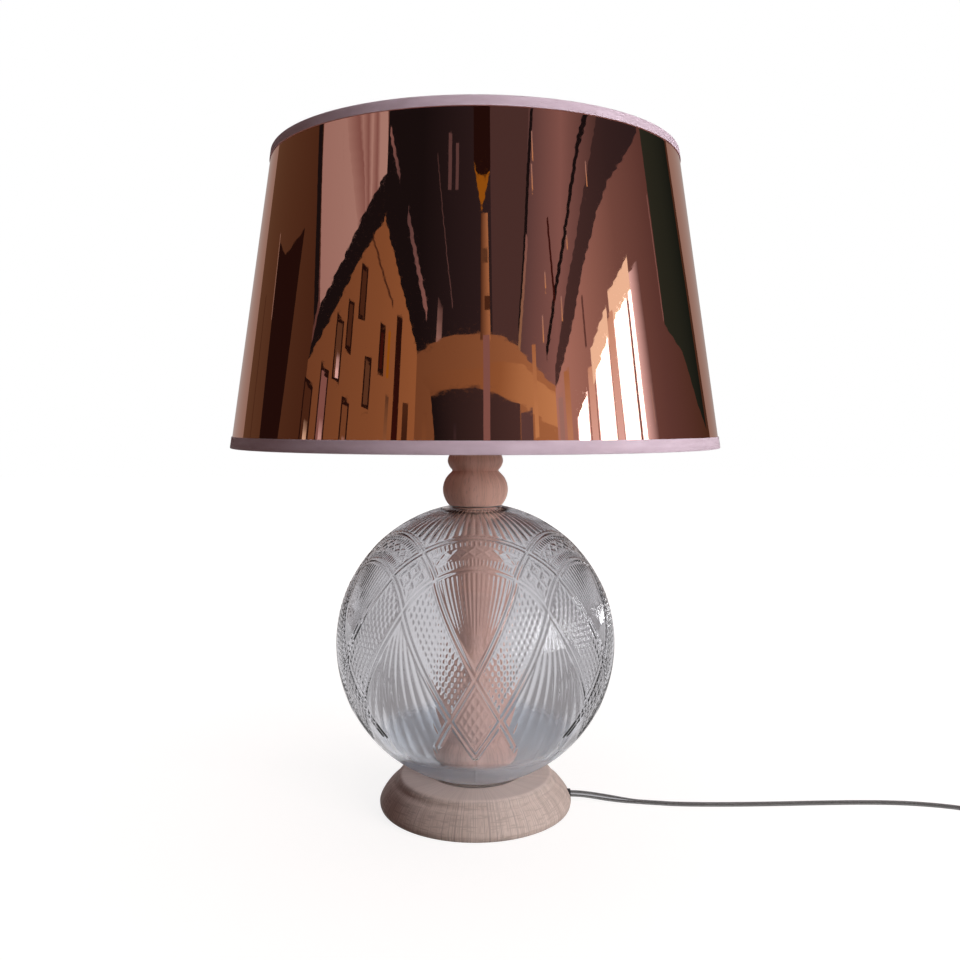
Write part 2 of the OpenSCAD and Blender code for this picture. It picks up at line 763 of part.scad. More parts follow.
module top_trim() {
    trim(shade_top_z, -1);
}

// The bulb

// Outline of the bulb's glass, above its cap
function bulb_outline(inset) = let (crown_z = bulb_h - bulb_r, steps = 16, swelling = 1.4) concat(
    [for (k = [0:steps]) let (v = k / steps)
        [bulb_neck_r + (bulb_r - bulb_neck_r) * pow(sin(90 * v), swelling) - inset,
            bulb_cap_h + (crown_z - bulb_cap_h) * v]],
    [for (k = [1:steps]) let (a = 90 * k / steps)
        [(bulb_r - inset) * cos(a), crown_z + (bulb_r - inset) * sin(a)]]);

module bulb_contact() {
    color(steel) translate([0, 0, bulb_z]) cylinder(r1 = bulb_tip_r, r2 = bulb_tip_root_r, h = bulb_tip_h);
}

module bulb_insulator() {
    rim = 0.5;
    color(black) translate([0, 0, bulb_z + bulb_tip_h])
        cylinder(r1 = insulator_r, r2 = cap_root_r - rim, h = insulator_h - bulb_tip_h - run);
}

module bulb_cap() {
    color(steel) {
        thread_bar(thread_r, bulb_z + insulator_h, bulb_z + bulb_cap_h - cap_skirt_h);
        translate([0, 0, bulb_z + bulb_cap_h - cap_skirt_h]) cylinder(r = cap_r, h = cap_skirt_h);
    }
}

module bulb_glass() {
    hollow = bulb_outline(bulb_glass_t);
    color(clear) translate([0, 0, bulb_z]) difference() {
        rotate_extrude() polygon(concat([[0, bulb_cap_h]], bulb_outline(0)));
        rotate_extrude() polygon(concat([[0, bulb_cap_h - over], [hollow[0][0], bulb_cap_h - over]], hollow));
    }
}

// Radius of the stem at a height above the cap
function stem_r_at(h) = max(stem_r, flare_r + (stem_r - flare_r) * h / flare_h);

module bulb_stem() {
    color(clear) translate([0, 0, bulb_z + bulb_cap_h]) {
        cylinder(r1 = flare_r, r2 = stem_r, h = flare_h);
        cylinder(r = stem_r, h = stem_h);
    }
}

// Two stars on the stem that hold the filaments by their ends
module filament_frame() {
    color(steel) for (z = [filament_z - support_t, filament_z + filament_l]) translate([0, 0, bulb_z + z])
        difference() {
            union() {
                cylinder(r = hub_r, h = support_t);
                for (k = [0:3]) rotate([0, 0, 90 * k]) translate([0, -filament_r, 0])
                    cube([filament_ring_r + filament_r, 2 * filament_r, support_t]);
            }
            translate([0, 0, -over])
                cylinder(r = stem_r_at(z - bulb_cap_h) + slip / 2, h = support_t + 2 * over);
        }
}

module filaments() {
    color(cream) for (k = [0:3]) rotate([0, 0, 90 * k]) translate([filament_ring_r, 0, bulb_z + filament_z])
        cylinder(r = filament_r, h = filament_l, $fn = 24);
}

// The flex on the table and what is on it

module cord_lead() {
    color(flex_grey) flex(curve(lead_route, flex_steps), flex_sides);
}

module cord_tail() {
    color(flex_grey) flex(curve(tail_route, flex_steps), flex_sides);
}

module cord_coil() {
    rings = flex_rings(coil_path, coil_sides, undef);
    laid_l = sum([for (route = [lead_route, tail_route, end_route]) path_length(curve(route, flex_steps))]);
    whole = laid_l + switch_l - 2 * cord_grip + path_length(coil_path);
    echo(coil_least_gap = least_gap(rings), flex_length = whole);
    color(flex_grey) flex(coil_path, coil_sides);
}

module cord_end() {
    color(flex_grey) flex(curve(end_route, flex_steps), flex_sides);
}

module cord_tie() {
    inner_w = coil_pitch * coil_turns / 2 + flex_w + 6 * tie_gap;
    inner_h = coil_layer + flex_t + 3 * tie_gap;
    middle_r = coil_r - coil_pitch * coil_turns / 4;
    color(black) translate([coil_x, coil_y, tie_t + inner_h / 2]) rotate([0, 0, tie_angle])
        translate([middle_r, 0, 0]) difference() {
            cube([inner_w + 2 * tie_t, tie_w, inner_h + 2 * tie_t], center = true);
            cube([inner_w, tie_w + 2 * over, inner_h], center = true);
        }
}

module switch_case() {
    intersection() {
        linear_extrude(switch_h) round_rect(switch_l, switch_w, case_round);
        translate([0, switch_w / 2, switch_h / 2]) rotate([90, 0, 0]) linear_extrude(switch_w)
            round_rect(switch_l, switch_h, edge_round);
        translate([-switch_l / 2, 0, switch_h / 2]) rotate([90, 0, 90]) linear_extrude(switch_l)
            round_rect(switch_w, switch_h, edge_round);
    }
}

module switch_cavity() {
    translate([0, 0, switch_wall]) linear_extrude(switch_h - 2 * switch_wall)
        round_rect(switch_l - 2 * switch_wall, switch_w - 2 * switch_wall, case_round - switch_wall);
}

// The case on one side of its joint
module case_half(z_low, z_high) {
    intersection() {
        switch_case();
        translate([-switch_l / 2 - over, -switch_w / 2 - over, z_low])
            cube([switch_l + 2 * over, switch_w + 2 * over, z_high - z_low]);
    }
}

module at_posts() {
    for (side = [-1, 1]) translate([side * post_x, side * post_y, 0]) children();
}

module switch_base() {
    entry = [switch_l + 2 * over, flex_w + entry_play, flex_t + entry_play];
    color(white) at_switch() difference() {
        case_half(0, switch_split_h);
        switch_cavity();
        translate([0, 0, entry_h]) cube(entry, center = true);
        at_posts() translate([0, 0, -over]) {
            cylinder(r = screw_head_r + slip, h = screw_head_h + screw_recess + over);
            cylinder(r = screw_r + slip, h = switch_wall + 2 * over);
        }
    }
}

module switch_cover() {
    window = [rocker_l + 2 * rocker_end_gap, rocker_w + 2 * rocker_side_gap, 2 * switch_wall];
    ceiling = switch_h - switch_wall;
    ear_y = window[1] / 2;
    ear_h = ceiling - pivot_z + ear_drop + switch_wall / 2;
    post_h = ceiling - switch_wall + post_root;
    color(white) at_switch() difference() {
        union() {
            difference() {
                case_half(switch_split_h, switch_h);
                switch_cavity();
                translate([0, 0, switch_h]) cube(window, center = true);
            }
            for (side = [-1, 1]) translate([0, side * (ear_y + ear_t / 2), pivot_z - ear_drop])
                linear_extrude(ear_h) square([ear_w, ear_t], center = true);
            at_posts() translate([0, 0, switch_wall]) cylinder(r = post_r, h = post_h);
        }
        translate([0, -ear_y - ear_t - over, pivot_z]) rotate([-90, 0, 0])
            cylinder(r = pivot_r + run, h = 2 * (ear_y + ear_t + over));
        at_posts() translate([0, 0, switch_wall - over])
            cylinder(r = screw_r + run, h = screw_l + screw_room);
    }
}

module switch_screws() {
    color(steel) at_switch() at_posts() translate([0, 0, screw_recess]) {
        cylinder(r = screw_head_r, h = screw_head_h);
        cylinder(r = screw_r, h = screw_l);
    }
}

module switch_terminals() {
    block = [6, 4, 3];
    beyond_rocker = 5;
    block_x = rocker_l / 2 + beyond_rocker;
    clamp_r = 1.5;
    clamp_out = 0.8;
    color(brass) at_switch() for (side = [-1, 1]) translate([side * block_x, -side * post_y, switch_wall]) {
        linear_extrude(block[2]) square([block[0], block[1]], center = true);
        cylinder(r = clamp_r, h = block[2] + clamp_out);
    }
}

module switch_contacts() {
    post = [4, 5];
    post_h = bridge_low_z - contact_play - switch_wall;
    inset = 1;
    color(brass) at_switch() for (side = [-1, 1])
        translate([side * (bridge_l / 2 - inset), 0, switch_wall])
            linear_extrude(post_h) square(post, center = true);
}

module switch_rocker() {
    half = rocker_l / 2;
    outline = [[-rocker_flat, -rocker_depth], [rocker_flat, -rocker_depth], [half, -rocker_edge_h],
        [half, rocker_end_h], [0, rocker_end_h - rocker_dip], [-half, rocker_end_h], [-half, -rocker_edge_h]];
    pin_l = rocker_w + 2 * (rocker_side_gap + ear_t) - 2 * slip;
    color(black) at_rocker() {
        translate([0, rocker_w / 2, 0]) rotate([90, 0, 0]) linear_extrude(rocker_w) polygon(outline);
        translate([0, -pin_l / 2, 0]) rotate([-90, 0, 0]) cylinder(r = pivot_r, h = pin_l);
    }
}

module rocker_bridge() {
    color(brass) at_rocker() translate([-bridge_l / 2, -bridge_w / 2, -rocker_depth - bridge_t])
        cube([bridge_l, bridge_w, bridge_t]);
}

// The plug's body narrows to its rear, where a ribbed relief holds the flex
module plug_body() {
    straight_l = 12;
    edge = 3;
    rib_l = relief_l / relief_ribs;
    rib_end = 0.65;
    groove_start = 0.7;
    groove_end = 0.95;
    outline = [[0, -plug_rear_w / 2], [plug_l - straight_l, -plug_w / 2], [plug_l, -plug_w / 2],
        [plug_l, plug_w / 2], [plug_l - straight_l, plug_w / 2], [0, plug_rear_w / 2]];
    color(white) at_plug() difference() {
        union() {
            intersection() {
                translate([0, 0, -plug_h / 2]) linear_extrude(plug_h) polygon(outline);
                rotate([90, 0, 90]) linear_extrude(plug_l) round_rect(plug_w, plug_h, edge);
            }
            rotate([0, -90, 0]) rotate_extrude() polygon(concat([[0, 0]],
                [for (k = [0:relief_ribs - 1], end = [0, rib_end, groove_start, groove_end])
                    let (v = (k + end) / relief_ribs, grooved = end > rib_end && k < relief_ribs - 1)
                    [relief_root_r + (relief_tip_r - relief_root_r) * v - (grooved ? rib_depth : 0),
                        rib_l * (k + end)]], [[0, relief_l]]));
        }
        for (side = [-1, 1]) translate([plug_l - pin_seat, side * pin_pitch / 2, 0]) rotate([0, 90, 0])
            cylinder(r = pin_core_r, h = pin_seat + over);
    }
}

// A pin's thin core runs from its seat through the sleeve to the bare tip
module plug_pins() {
    bare_l = pin_l - sleeve_l - pin_r;
    color(steel) at_plug() for (side = [-1, 1])
        translate([plug_l, side * pin_pitch / 2, 0]) rotate([0, 90, 0]) {
            translate([0, 0, -pin_seat]) cylinder(r = pin_core_r, h = pin_seat + sleeve_l);
            translate([0, 0, sleeve_l]) cylinder(r = pin_r, h = bare_l);
            translate([0, 0, sleeve_l + bare_l]) sphere(r = pin_r);
        }
}

module pin_sleeves() {
    color(black) at_plug() for (side = [-1, 1]) translate([plug_l, side * pin_pitch / 2, 0])
        rotate([0, 90, 0]) washer(sleeve_r, pin_core_r, 0, sleeve_l);
}

wood_base();
felt_pad();
base_washer();
base_nut();
cord_bush();
inner_flex();
threaded_tube();
lower_gasket();
glass_globe();
upper_gasket();
inner_column();
wood_neck();
holder_cap();
holder_insert();
terminal_blocks();
centre_contact();
screw_shell();
holder_body();
lower_ring();
upper_ring();
fitter_ring();
fitter_spokes();
bottom_wire();
top_wire();
shade_skin();
bottom_trim();
top_trim();
bulb_contact();
bulb_insulator();
bulb_cap();
bulb_glass();
bulb_stem();
filament_frame();
filaments();
cord_lead();
switch_base();
switch_cover();
switch_terminals();
switch_contacts();
switch_screws();
switch_rocker();
rocker_bridge();
cord_tail();
cord_coil();
cord_tie();
cord_end();
plug_body();
plug_pins();
pin_sleeves();
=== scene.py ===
# Globe table lamp: the looks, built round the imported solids.
# Metres, +Z up; the photograph is taken from -Y.
import math

import bpy
import numpy as np
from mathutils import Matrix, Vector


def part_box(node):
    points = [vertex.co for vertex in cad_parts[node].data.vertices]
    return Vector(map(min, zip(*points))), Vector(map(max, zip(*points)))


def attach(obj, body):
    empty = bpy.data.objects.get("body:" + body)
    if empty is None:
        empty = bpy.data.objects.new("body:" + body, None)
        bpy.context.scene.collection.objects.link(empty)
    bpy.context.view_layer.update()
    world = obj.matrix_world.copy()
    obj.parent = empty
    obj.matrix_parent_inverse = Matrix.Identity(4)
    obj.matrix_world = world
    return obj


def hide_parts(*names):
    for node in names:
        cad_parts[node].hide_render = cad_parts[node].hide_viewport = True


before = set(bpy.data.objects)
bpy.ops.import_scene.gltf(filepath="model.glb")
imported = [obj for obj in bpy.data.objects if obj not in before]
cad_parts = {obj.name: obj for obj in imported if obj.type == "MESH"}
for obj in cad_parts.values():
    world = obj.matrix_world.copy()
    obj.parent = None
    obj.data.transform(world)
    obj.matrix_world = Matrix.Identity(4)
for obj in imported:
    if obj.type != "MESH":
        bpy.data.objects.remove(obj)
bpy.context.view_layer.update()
MM = 0.001


# Camera
CAMERA_PLACE = (0.0, -0.6945, 0.2874)
CAMERA_TILT = 0.0632
CAMERA_TURN = 0.0049
CAMERA_LENS = 35.33

camera_data = bpy.data.cameras.new("camera")
camera_data.lens = CAMERA_LENS
camera_data.sensor_width = 36
camera_data.clip_start = 0.01
camera = bpy.data.objects.new("camera", camera_data)
camera.location = CAMERA_PLACE
camera.rotation_euler = (math.pi / 2 - CAMERA_TILT, 0, -CAMERA_TURN)
bpy.context.collection.objects.link(camera)
bpy.context.scene.camera = camera
bpy.context.scene.view_settings.view_transform = "Standard"


# Mesh helpers
def place(name, mesh, *materials):
    """A new object for a mesh, with its materials."""
    for material in materials:
        mesh.materials.append(material)
    made = bpy.data.objects.new(name, mesh)
    bpy.context.collection.objects.link(made)
    return made


def quads(lower, upper):
    """Faces between two rows of closed rings of vertex numbers."""
    lower_next = np.roll(lower, -1, axis=-1)
    upper_next = np.roll(upper, -1, axis=-1)
    return np.stack([lower, lower_next, upper_next, upper], axis=-1).reshape(-1, 4)


def ring_mesh(name, rings, closed):
    """A smooth mesh through rows of rings: closed joins the last row to the first, open caps both ends."""
    rows, around = rings.shape[:2]
    numbers = np.arange(rows * around).reshape(rows, around)
    faces = quads(numbers[:-1], numbers[1:]).tolist()
    if closed:
        faces += quads(numbers[-1:], numbers[:1]).tolist()
    else:
        faces += [numbers[0, ::-1].tolist(), numbers[-1].tolist()]
    mesh = bpy.data.meshes.new(name)
    mesh.from_pydata(rings.reshape(-1, 3).tolist(), [], faces)
    mesh.shade_smooth()
    return mesh


def lathe(name, radii, heights, angles):
    """A turned mesh: rows of radii and heights, on angles that start at the photograph's side."""
    radii = np.broadcast_to(np.atleast_2d(radii), (len(heights), len(angles)))
    x = radii * np.sin(angles)
    y = -radii * np.cos(angles)
    z = np.broadcast_to(np.asarray(heights)[:, None], x.shape)
    return ring_mesh(name, np.stack([x, y, z], axis=-1), True)


def full_turn(count):
    """Even angles round a circle."""
    return np.arange(count) * 2 * math.pi / count


def smooth_step(value, low, high):
    """A share that eases from nought at low to one at high."""
    t = np.clip((value - low) / (high - low), 0, 1)
    return t * t * (3 - 2 * t)


# Material helpers
CLOUD_SHIFT = 0.06
WOOD_MARKS = 0.07 * MM
WOOD_TOP_HIGHLIGHT = 1.28
WOOD_DARKER = 0.7
FOIL_COLOUR = (0.76, 0.46, 0.36)
FOIL_RIPPLE = 0.01 * MM
FOIL_WAVE = 0.2 * MM
TAPE_THREAD = 0.7 * MM
TAPE_WEAVE = 0.06 * MM
FELT_NAP = 0.4 * MM
STRAND_TWIST = 0.2 * MM
MILKY_WAVE = 0.3 * MM
MILKY_COLOUR = (0.73, 0.80, 0.87)
GLASS_COLOUR = (0.965, 0.965, 0.97)
GLASS_IOR = 1.5


def material_tree(name):
    """A new material with an empty node tree."""
    made = bpy.data.materials.new(name)
    made.use_nodes = True
    made.node_tree.nodes.clear()
    return made, made.node_tree


def add(tree, kind, values=None, **settings):
    """A shader node: settings are its own properties, values its sockets by name or number."""
    made = tree.nodes.new(kind)
    for name, value in settings.items():
        setattr(made, name, value)
    for name, value in (values or {}).items():
        if isinstance(value, bpy.types.NodeSocket):
            tree.links.new(value, made.inputs[name])
        else:
            made.inputs[name].default_value = value
    return made


def sums(tree, operation, *values):
    """Arithmetic on sockets and numbers."""
    return add(tree, "ShaderNodeMath", dict(enumerate(values)), operation=operation).outputs[0]


def finish_tree(tree, shader):
    add(tree, "ShaderNodeOutputMaterial", {"Surface": shader})


def finish_surface(tree, values):
    """A surface from the sockets of a principled shader."""
    finish_tree(tree, add(tree, "ShaderNodeBsdfPrincipled", values).outputs[0])


def object_point(tree):
    return add(tree, "ShaderNodeTexCoord").outputs["Object"]


def noise(tree, point, scale, detail=3.0, roughness=0.55):
    values = {"Vector": point, "Scale": scale, "Detail": detail, "Roughness": roughness}
    return add(tree, "ShaderNodeTexNoise", values).outputs[0]


def drawn_out(tree, point, scale, detail=1.0):
    """Noise with a scale of its own along each axis."""
    placed = add(tree, "ShaderNodeMapping", {"Vector": point, "Scale": scale}).outputs[0]
    return noise(tree, placed, 1.0, detail)


def ramp(tree, value, low, high, low_out=0.0, high_out=1.0):
    """A value taken from one range to another, and held at its ends."""
    values = {"Value": value, "From Min": low, "From Max": high, "To Min": low_out, "To Max": high_out}
    return add(tree, "ShaderNodeMapRange", values).outputs[0]


def tinted(tree, share, first, second):
    """Two colours mixed by a share."""
    mixed = add(tree, "ShaderNodeMix", {0: share, 6: first, 7: second}, data_type="RGBA")
    return mixed.outputs[2]


def bump(tree, height, distance):
    values = {"Height": height, "Distance": distance, "Strength": 1.0}
    return add(tree, "ShaderNodeBump", values).outputs[0]


def wrapped(tree, radius):
    """The place on a round wall: metres round from the photograph's side, and metres up."""
    split = add(tree, "ShaderNodeSeparateXYZ", {0: object_point(tree)})
    backward = sums(tree, "MULTIPLY", split.outputs[1], -1.0)
    angle = sums(tree, "ARCTAN2", split.outputs[0], backward)
    arc = sums(tree, "MULTIPLY", angle, radius)
    return add(tree, "ShaderNodeCombineXYZ", {0: arc, 1: split.outputs[2]}).outputs[0]


def plain(name, colour, roughness, metallic=0.0, grain=0.0, grain_scale=900.0):
    """A moulded or plated surface: one colour with a slight cloudiness and a fine grain."""
    made, tree = material_tree(name)
    point = object_point(tree)
    cloud = noise(tree, point, 60.0)
    darker = tuple(c * (1 - CLOUD_SHIFT) for c in colour)
    lighter = tuple(min(1.0, c * (1 + CLOUD_SHIFT)) for c in colour)
    values = {"Base Color": tinted(tree, cloud, (*darker, 1), (*lighter, 1)), "Metallic": metallic,
              "Roughness": ramp(tree, cloud, 0.3, 0.7, roughness * 0.85, roughness * 1.15)}
    if grain:
        values["Normal"] = bump(tree, noise(tree, point, grain_scale), grain)
    finish_surface(tree, values)
    return made


def turned(tree, radius):
    """The place on a turned piece with its radius evened out, so that grain runs down the flanks."""
    split = add(tree, "ShaderNodeSeparateXYZ", {0: object_point(tree)})
    level = add(tree, "ShaderNodeCombineXYZ", {0: split.outputs[0], 1: split.outputs[1]}).outputs[0]
    outward = add(tree, "ShaderNodeVectorMath", {0: level}, operation="NORMALIZE").outputs[0]
    parts = add(tree, "ShaderNodeSeparateXYZ", {0: outward})
    evened = [sums(tree, "MULTIPLY", parts.outputs[axis], radius) for axis in (0, 1)]
    return add(tree, "ShaderNodeCombineXYZ", {0: evened[0], 1: evened[1], 2: split.outputs[2]}).outputs[0]


def wood(name, light, dark, radius, lining, crossing=0.0):
    """Bare turned beech: broad streaks, thin dark lines along the grain and across it, short pores, tool
    marks, and a painted highlight on the upward faces, standing in for light from above."""
    made, tree = material_tree(name)
    point = turned(tree, radius)
    bands = drawn_out(tree, point, (35.0, 35.0, 6.0))
    streaks = drawn_out(tree, point, (170.0, 170.0, 7.0))
    lines = drawn_out(tree, point, (1250.0, 1250.0, 9.0))
    pores = drawn_out(tree, point, (1100.0, 1100.0, 170.0))
    chatter = drawn_out(tree, point, (90.0, 90.0, 900.0))
    broad = ramp(tree, bands, 0.35, 0.65, 0.1, 0.5)
    share = sums(tree, "ADD", broad, ramp(tree, streaks, 0.38, 0.62, 0.1, 0.5))
    colour = tinted(tree, share, (*dark, 1), (*light, 1))
    line = ramp(tree, lines, 0.53, 0.60, 0.0, lining)
    fleck = ramp(tree, pores, 0.58, 0.66, 0.0, 0.45)
    cross = ramp(tree, chatter, 0.54, 0.64, 0.0, crossing)
    normal = add(tree, "ShaderNodeTexCoord").outputs["Normal"]
    upward = add(tree, "ShaderNodeSeparateXYZ", {0: normal}).outputs[2]
    # Painted highlight: upward faces are mixed towards a lighter beech, as if lit from above; the marks
    # fade there too.
    painted_top_light = tuple(min(1.0, c * WOOD_TOP_HIGHLIGHT) for c in light)
    colour = tinted(tree, ramp(tree, upward, 0.75, 0.97, 0.0, 0.6), colour, (*painted_top_light, 1))
    marks = sums(tree, "MAXIMUM", sums(tree, "MAXIMUM", line, fleck), cross)
    marks = sums(tree, "MULTIPLY", marks, ramp(tree, upward, 0.7, 0.95, 1.0, 0.25))
    colour = tinted(tree, marks, colour, (*(c * WOOD_DARKER for c in dark), 1))
    height = sums(tree, "SUBTRACT", sums(tree, "MULTIPLY", chatter, 0.5), marks)
    finish_surface(tree, {
        "Base Color": colour, "Roughness": ramp(tree, lines, 0.3, 0.7, 0.45, 0.62), "IOR": 1.45,
        "Specular IOR Level": 0.2, "Normal": bump(tree, height, WOOD_MARKS)})
    return made


def finish_clear(tree, values, colour):
    """A clear body that lets lamps through."""
    body = add(tree, "ShaderNodeBsdfPrincipled", values).outputs[0]
    through = add(tree, "ShaderNodeBsdfTransparent", {"Color": (*colour, 1)}).outputs[0]
    light_path = add(tree, "ShaderNodeLightPath")
    mixed = add(tree, "ShaderNodeMixShader", {0: light_path.outputs["Is Shadow Ray"], 1: body, 2: through})
    finish_tree(tree, mixed.outputs[0])


def clear(name, colour, roughness, waviness=0.0, wave_scale=60.0):
    """Clear glass or plastic."""
    made, tree = material_tree(name)
    values = {"Base Color": (*colour, 1), "Roughness": roughness, "IOR": GLASS_IOR,
              "Transmission Weight": 1.0}
    if waviness:
        values["Normal"] = bump(tree, noise(tree, object_point(tree), wave_scale, 1.0), waviness)
    finish_clear(tree, values, colour)
    return made


def pressed_glass(milky_z, clear_z):
    """Clear glass that turns milky below a height, towards its thick foot."""
    made, tree = material_tree("pressed_glass")
    height = add(tree, "ShaderNodeSeparateXYZ", {0: object_point(tree)}).outputs[2]
    clearness = ramp(tree, height, milky_z, clear_z)
    milkiness = sums(tree, "SUBTRACT", 1.0, clearness)
    wave = sums(tree, "MULTIPLY", noise(tree, object_point(tree), 90.0, 1.0), milkiness)
    finish_clear(tree, {"Base Color": tinted(tree, clearness, (*MILKY_COLOUR, 1), (*GLASS_COLOUR, 1)),
                        "Roughness": ramp(tree, clearness, 0.0, 1.0, 0.25, 0.0), "IOR": GLASS_IOR,
                        "Transmission Weight": ramp(tree, clearness, 0.0, 1.0, 0.55, 1.0),
                        "Normal": bump(tree, wave, MILKY_WAVE)}, GLASS_COLOUR)
    return made


def foil_material(radius):
    """Mirror copper film on a stiff sheet: small ripples break up what it mirrors."""
    made, tree = material_tree("copper_foil")
    place_on = wrapped(tree, radius)
    ripples = drawn_out(tree, place_on, (30.0, 190.0, 1.0), 0.0)
    swells = drawn_out(tree, place_on, (14.0, 9.0, 1.0))
    rippled = sums(tree, "MULTIPLY", ripples, FOIL_RIPPLE)
    height = sums(tree, "ADD", rippled, sums(tree, "MULTIPLY", swells, FOIL_WAVE))
    dust = drawn_out(tree, place_on, (400.0, 400.0, 1.0), 2.0)
    finish_surface(tree, {
        "Base Color": (*FOIL_COLOUR, 1), "Metallic": 1.0,
        "Roughness": ramp(tree, dust, 0.5, 0.8, 0.015, 0.06), "Normal": bump(tree, height, 1.0)})
    return made


def tape_material(radius):
    """Mauve woven tape: threads round and across, with a soft sheen."""
    made, tree = material_tree("mauve_tape")
    place_on = wrapped(tree, radius)
    split = add(tree, "ShaderNodeSeparateXYZ", {0: place_on})
    thread = 2 * math.pi / TAPE_THREAD
    warp = sums(tree, "SINE", sums(tree, "MULTIPLY", split.outputs[0], thread))
    weft = sums(tree, "SINE", sums(tree, "MULTIPLY", split.outputs[1], thread))
    weave = sums(tree, "MULTIPLY", warp, weft)
    worn = drawn_out(tree, place_on, (35.0, 120.0, 1.0), 3.0)
    colour = tinted(tree, ramp(tree, worn, 0.35, 0.65), (0.665, 0.515, 0.61, 1), (0.76, 0.605, 0.71, 1))
    finish_surface(tree, {
        "Base Color": colour, "Roughness": 0.62, "Specular IOR Level": 0.3,
        "Sheen Weight": 0.25, "Sheen Roughness": 0.4, "Normal": bump(tree, weave, TAPE_WEAVE)})
    return made


def felt_material():
    """Dense dark felt."""
    made, tree = material_tree("felt")
    point = object_point(tree)
    fibres = noise(tree, point, 1600.0, 4.0, 0.7)
    colour = tinted(tree, fibres, (0.08, 0.085, 0.08, 1), (0.2, 0.21, 0.2, 1))
    finish_surface(tree, {
        "Base Color": colour, "Roughness": 0.95, "Sheen Weight": 0.4,
        "Normal": bump(tree, fibres, FELT_NAP)})
    return made


# Solids that keep their shape
def dress(material, *names):
    """One material for the solids named."""
    for name in names:
        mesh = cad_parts[name].data
        mesh.materials.clear()
        mesh.materials.append(material)


foot_beech = wood("foot_beech", (0.735, 0.605, 0.55), (0.585, 0.455, 0.40), 0.065, 0.75, 0.5)
# Painted shade: the column's beech is a darker, redder copy of the foot's, standing in for how it is lit
# inside the glass.
column_beech_painted_shade = wood("column_beech_painted_shade", (0.75, 0.49, 0.43), (0.53, 0.32, 0.26), 0.022, 0.3)
# Painted light: the neck's beech is a lighter, redder copy of the foot's, standing in for the light it gets
# under the shade.
neck_beech_painted_light = wood("neck_beech_painted_light", (0.97, 0.64, 0.55), (0.72, 0.41, 0.31), 0.021, 0.25)
steel = plain("zinc_steel", (0.62, 0.62, 0.64), 0.32, 1.0, 0.02 * MM)
brass = plain("brass", (0.78, 0.58, 0.28), 0.25, 1.0)
nickel = plain("nickel", (0.76, 0.74, 0.70), 0.18, 1.0)
white_plastic = plain("white_plastic", (0.86, 0.85, 0.82), 0.32, 0.0, 0.01 * MM)
white_wire = plain("white_wire", (0.85, 0.84, 0.82), 0.4)
porcelain = plain("porcelain", (0.90, 0.89, 0.86), 0.12)
black_plastic = plain("black_plastic", (0.025, 0.025, 0.028), 0.4, 0.0, 0.02 * MM)
phosphor = plain("phosphor", (0.90, 0.72, 0.28), 0.6, 0.0, 0.03 * MM)
soft_ring = clear("soft_ring", (0.80, 0.80, 0.80), 0.35)
bulb_clear = clear("bulb_clear", (0.97, 0.97, 0.96), 0.0, 0.2 * MM, 40.0)
felt = felt_material()

dress(felt, "felt_pad")
dress(steel, "base_washer", "base_nut", "threaded_tube", "switch_screws", "filament_frame")
dress(brass, "terminal_blocks", "centre_contact", "screw_shell", "switch_terminals", "switch_contacts",
      "rocker_bridge", "bulb_contact")
dress(nickel, "bulb_cap", "plug_pins")
dress(white_plastic, "holder_cap", "holder_body", "lower_ring", "upper_ring", "switch_base", "switch_cover",
      "switch_rocker", "plug_body", "inner_flex")
dress(white_wire, "fitter_ring", "fitter_spokes", "bottom_wire", "top_wire")
dress(porcelain, "holder_insert")
dress(black_plastic, "cord_bush", "pin_sleeves", "cord_tie", "bulb_insulator")
dress(phosphor, "filaments")
dress(soft_ring, "lower_gasket", "upper_gasket")
dress(bulb_clear, "bulb_glass", "bulb_stem")


# Foot, with its upper edge sanded round and a cove below it
FELT_R = 62.0 * MM
FELT_T = 1.5 * MM
WELL_R = 26.0 * MM
WELL_H = 17.0 * MM
BORE_R = 5.2 * MM
BOSS_R = 29.6 * MM
FOOT_H = 24.0 * MM
BELLY_H = 4.5 * MM
UNDERCUT = 1.7 * MM
FLARE = 15.2 * MM
FLANK_POWER = 1.4
EDGE_ROUND = 2.0 * MM
COVE_H = 19.2 * MM
COVE_DEEP = 1.3 * MM
COVE_WIDE = 2.0 * MM
BELLY_STEPS = 10
FLANK_STEPS = 40
EDGE_STEPS = 9
TURNED_SIDES = 160
SHARP = math.radians(40)

foot_low, foot_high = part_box("wood_base")


def foot_profile():
    """From the bore's lower end round the outside to its upper end: rows of radius and height."""
    under = [(BORE_R, WELL_H), (WELL_R, WELL_H), (WELL_R, FELT_T), (FELT_R, FELT_T), (FELT_R, foot_low.z)]
    belly = [(foot_high.x - UNDERCUT * (1 - math.sqrt(1 - v * v)), BELLY_H - v * (BELLY_H - foot_low.z))
             for v in np.linspace(1, 0, BELLY_STEPS)]
    share = np.linspace(0, 1, FLANK_STEPS)[1:]
    heights = BELLY_H + share * (FOOT_H - BELLY_H)
    cove = COVE_DEEP * np.exp(-((heights - COVE_H) / COVE_WIDE) ** 2)
    flank = list(zip(foot_high.x - FLARE * share ** FLANK_POWER - cove, heights))
    corner = flank[-1]
    kept = [point for point in flank if math.dist(point, corner) > EDGE_ROUND]
    start, end = np.array(kept[-1]), np.array((corner[0] - EDGE_ROUND, FOOT_H))
    turn = np.linspace(0, 1, EDGE_STEPS)[1:, None]
    edge = (1 - turn) ** 2 * start + 2 * turn * (1 - turn) * np.array(corner) + turn ** 2 * end
    top = [(BOSS_R, FOOT_H), (BOSS_R, foot_high.z), (BORE_R, foot_high.z)]
    return np.array(under + belly + kept + edge.tolist() + top)


def turned_wood(name, profile, material, node):
    """A turned piece of wood in the place of a solid."""
    mesh = lathe(name, profile[:, :1], profile[:, 1], full_turn(TURNED_SIDES))
    mesh.set_sharp_from_angle(angle=SHARP)
    made = place(name, mesh, material)
    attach(made, "lamp")
    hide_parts(node)


turned_wood("foot", foot_profile(), foot_beech, "wood_base")


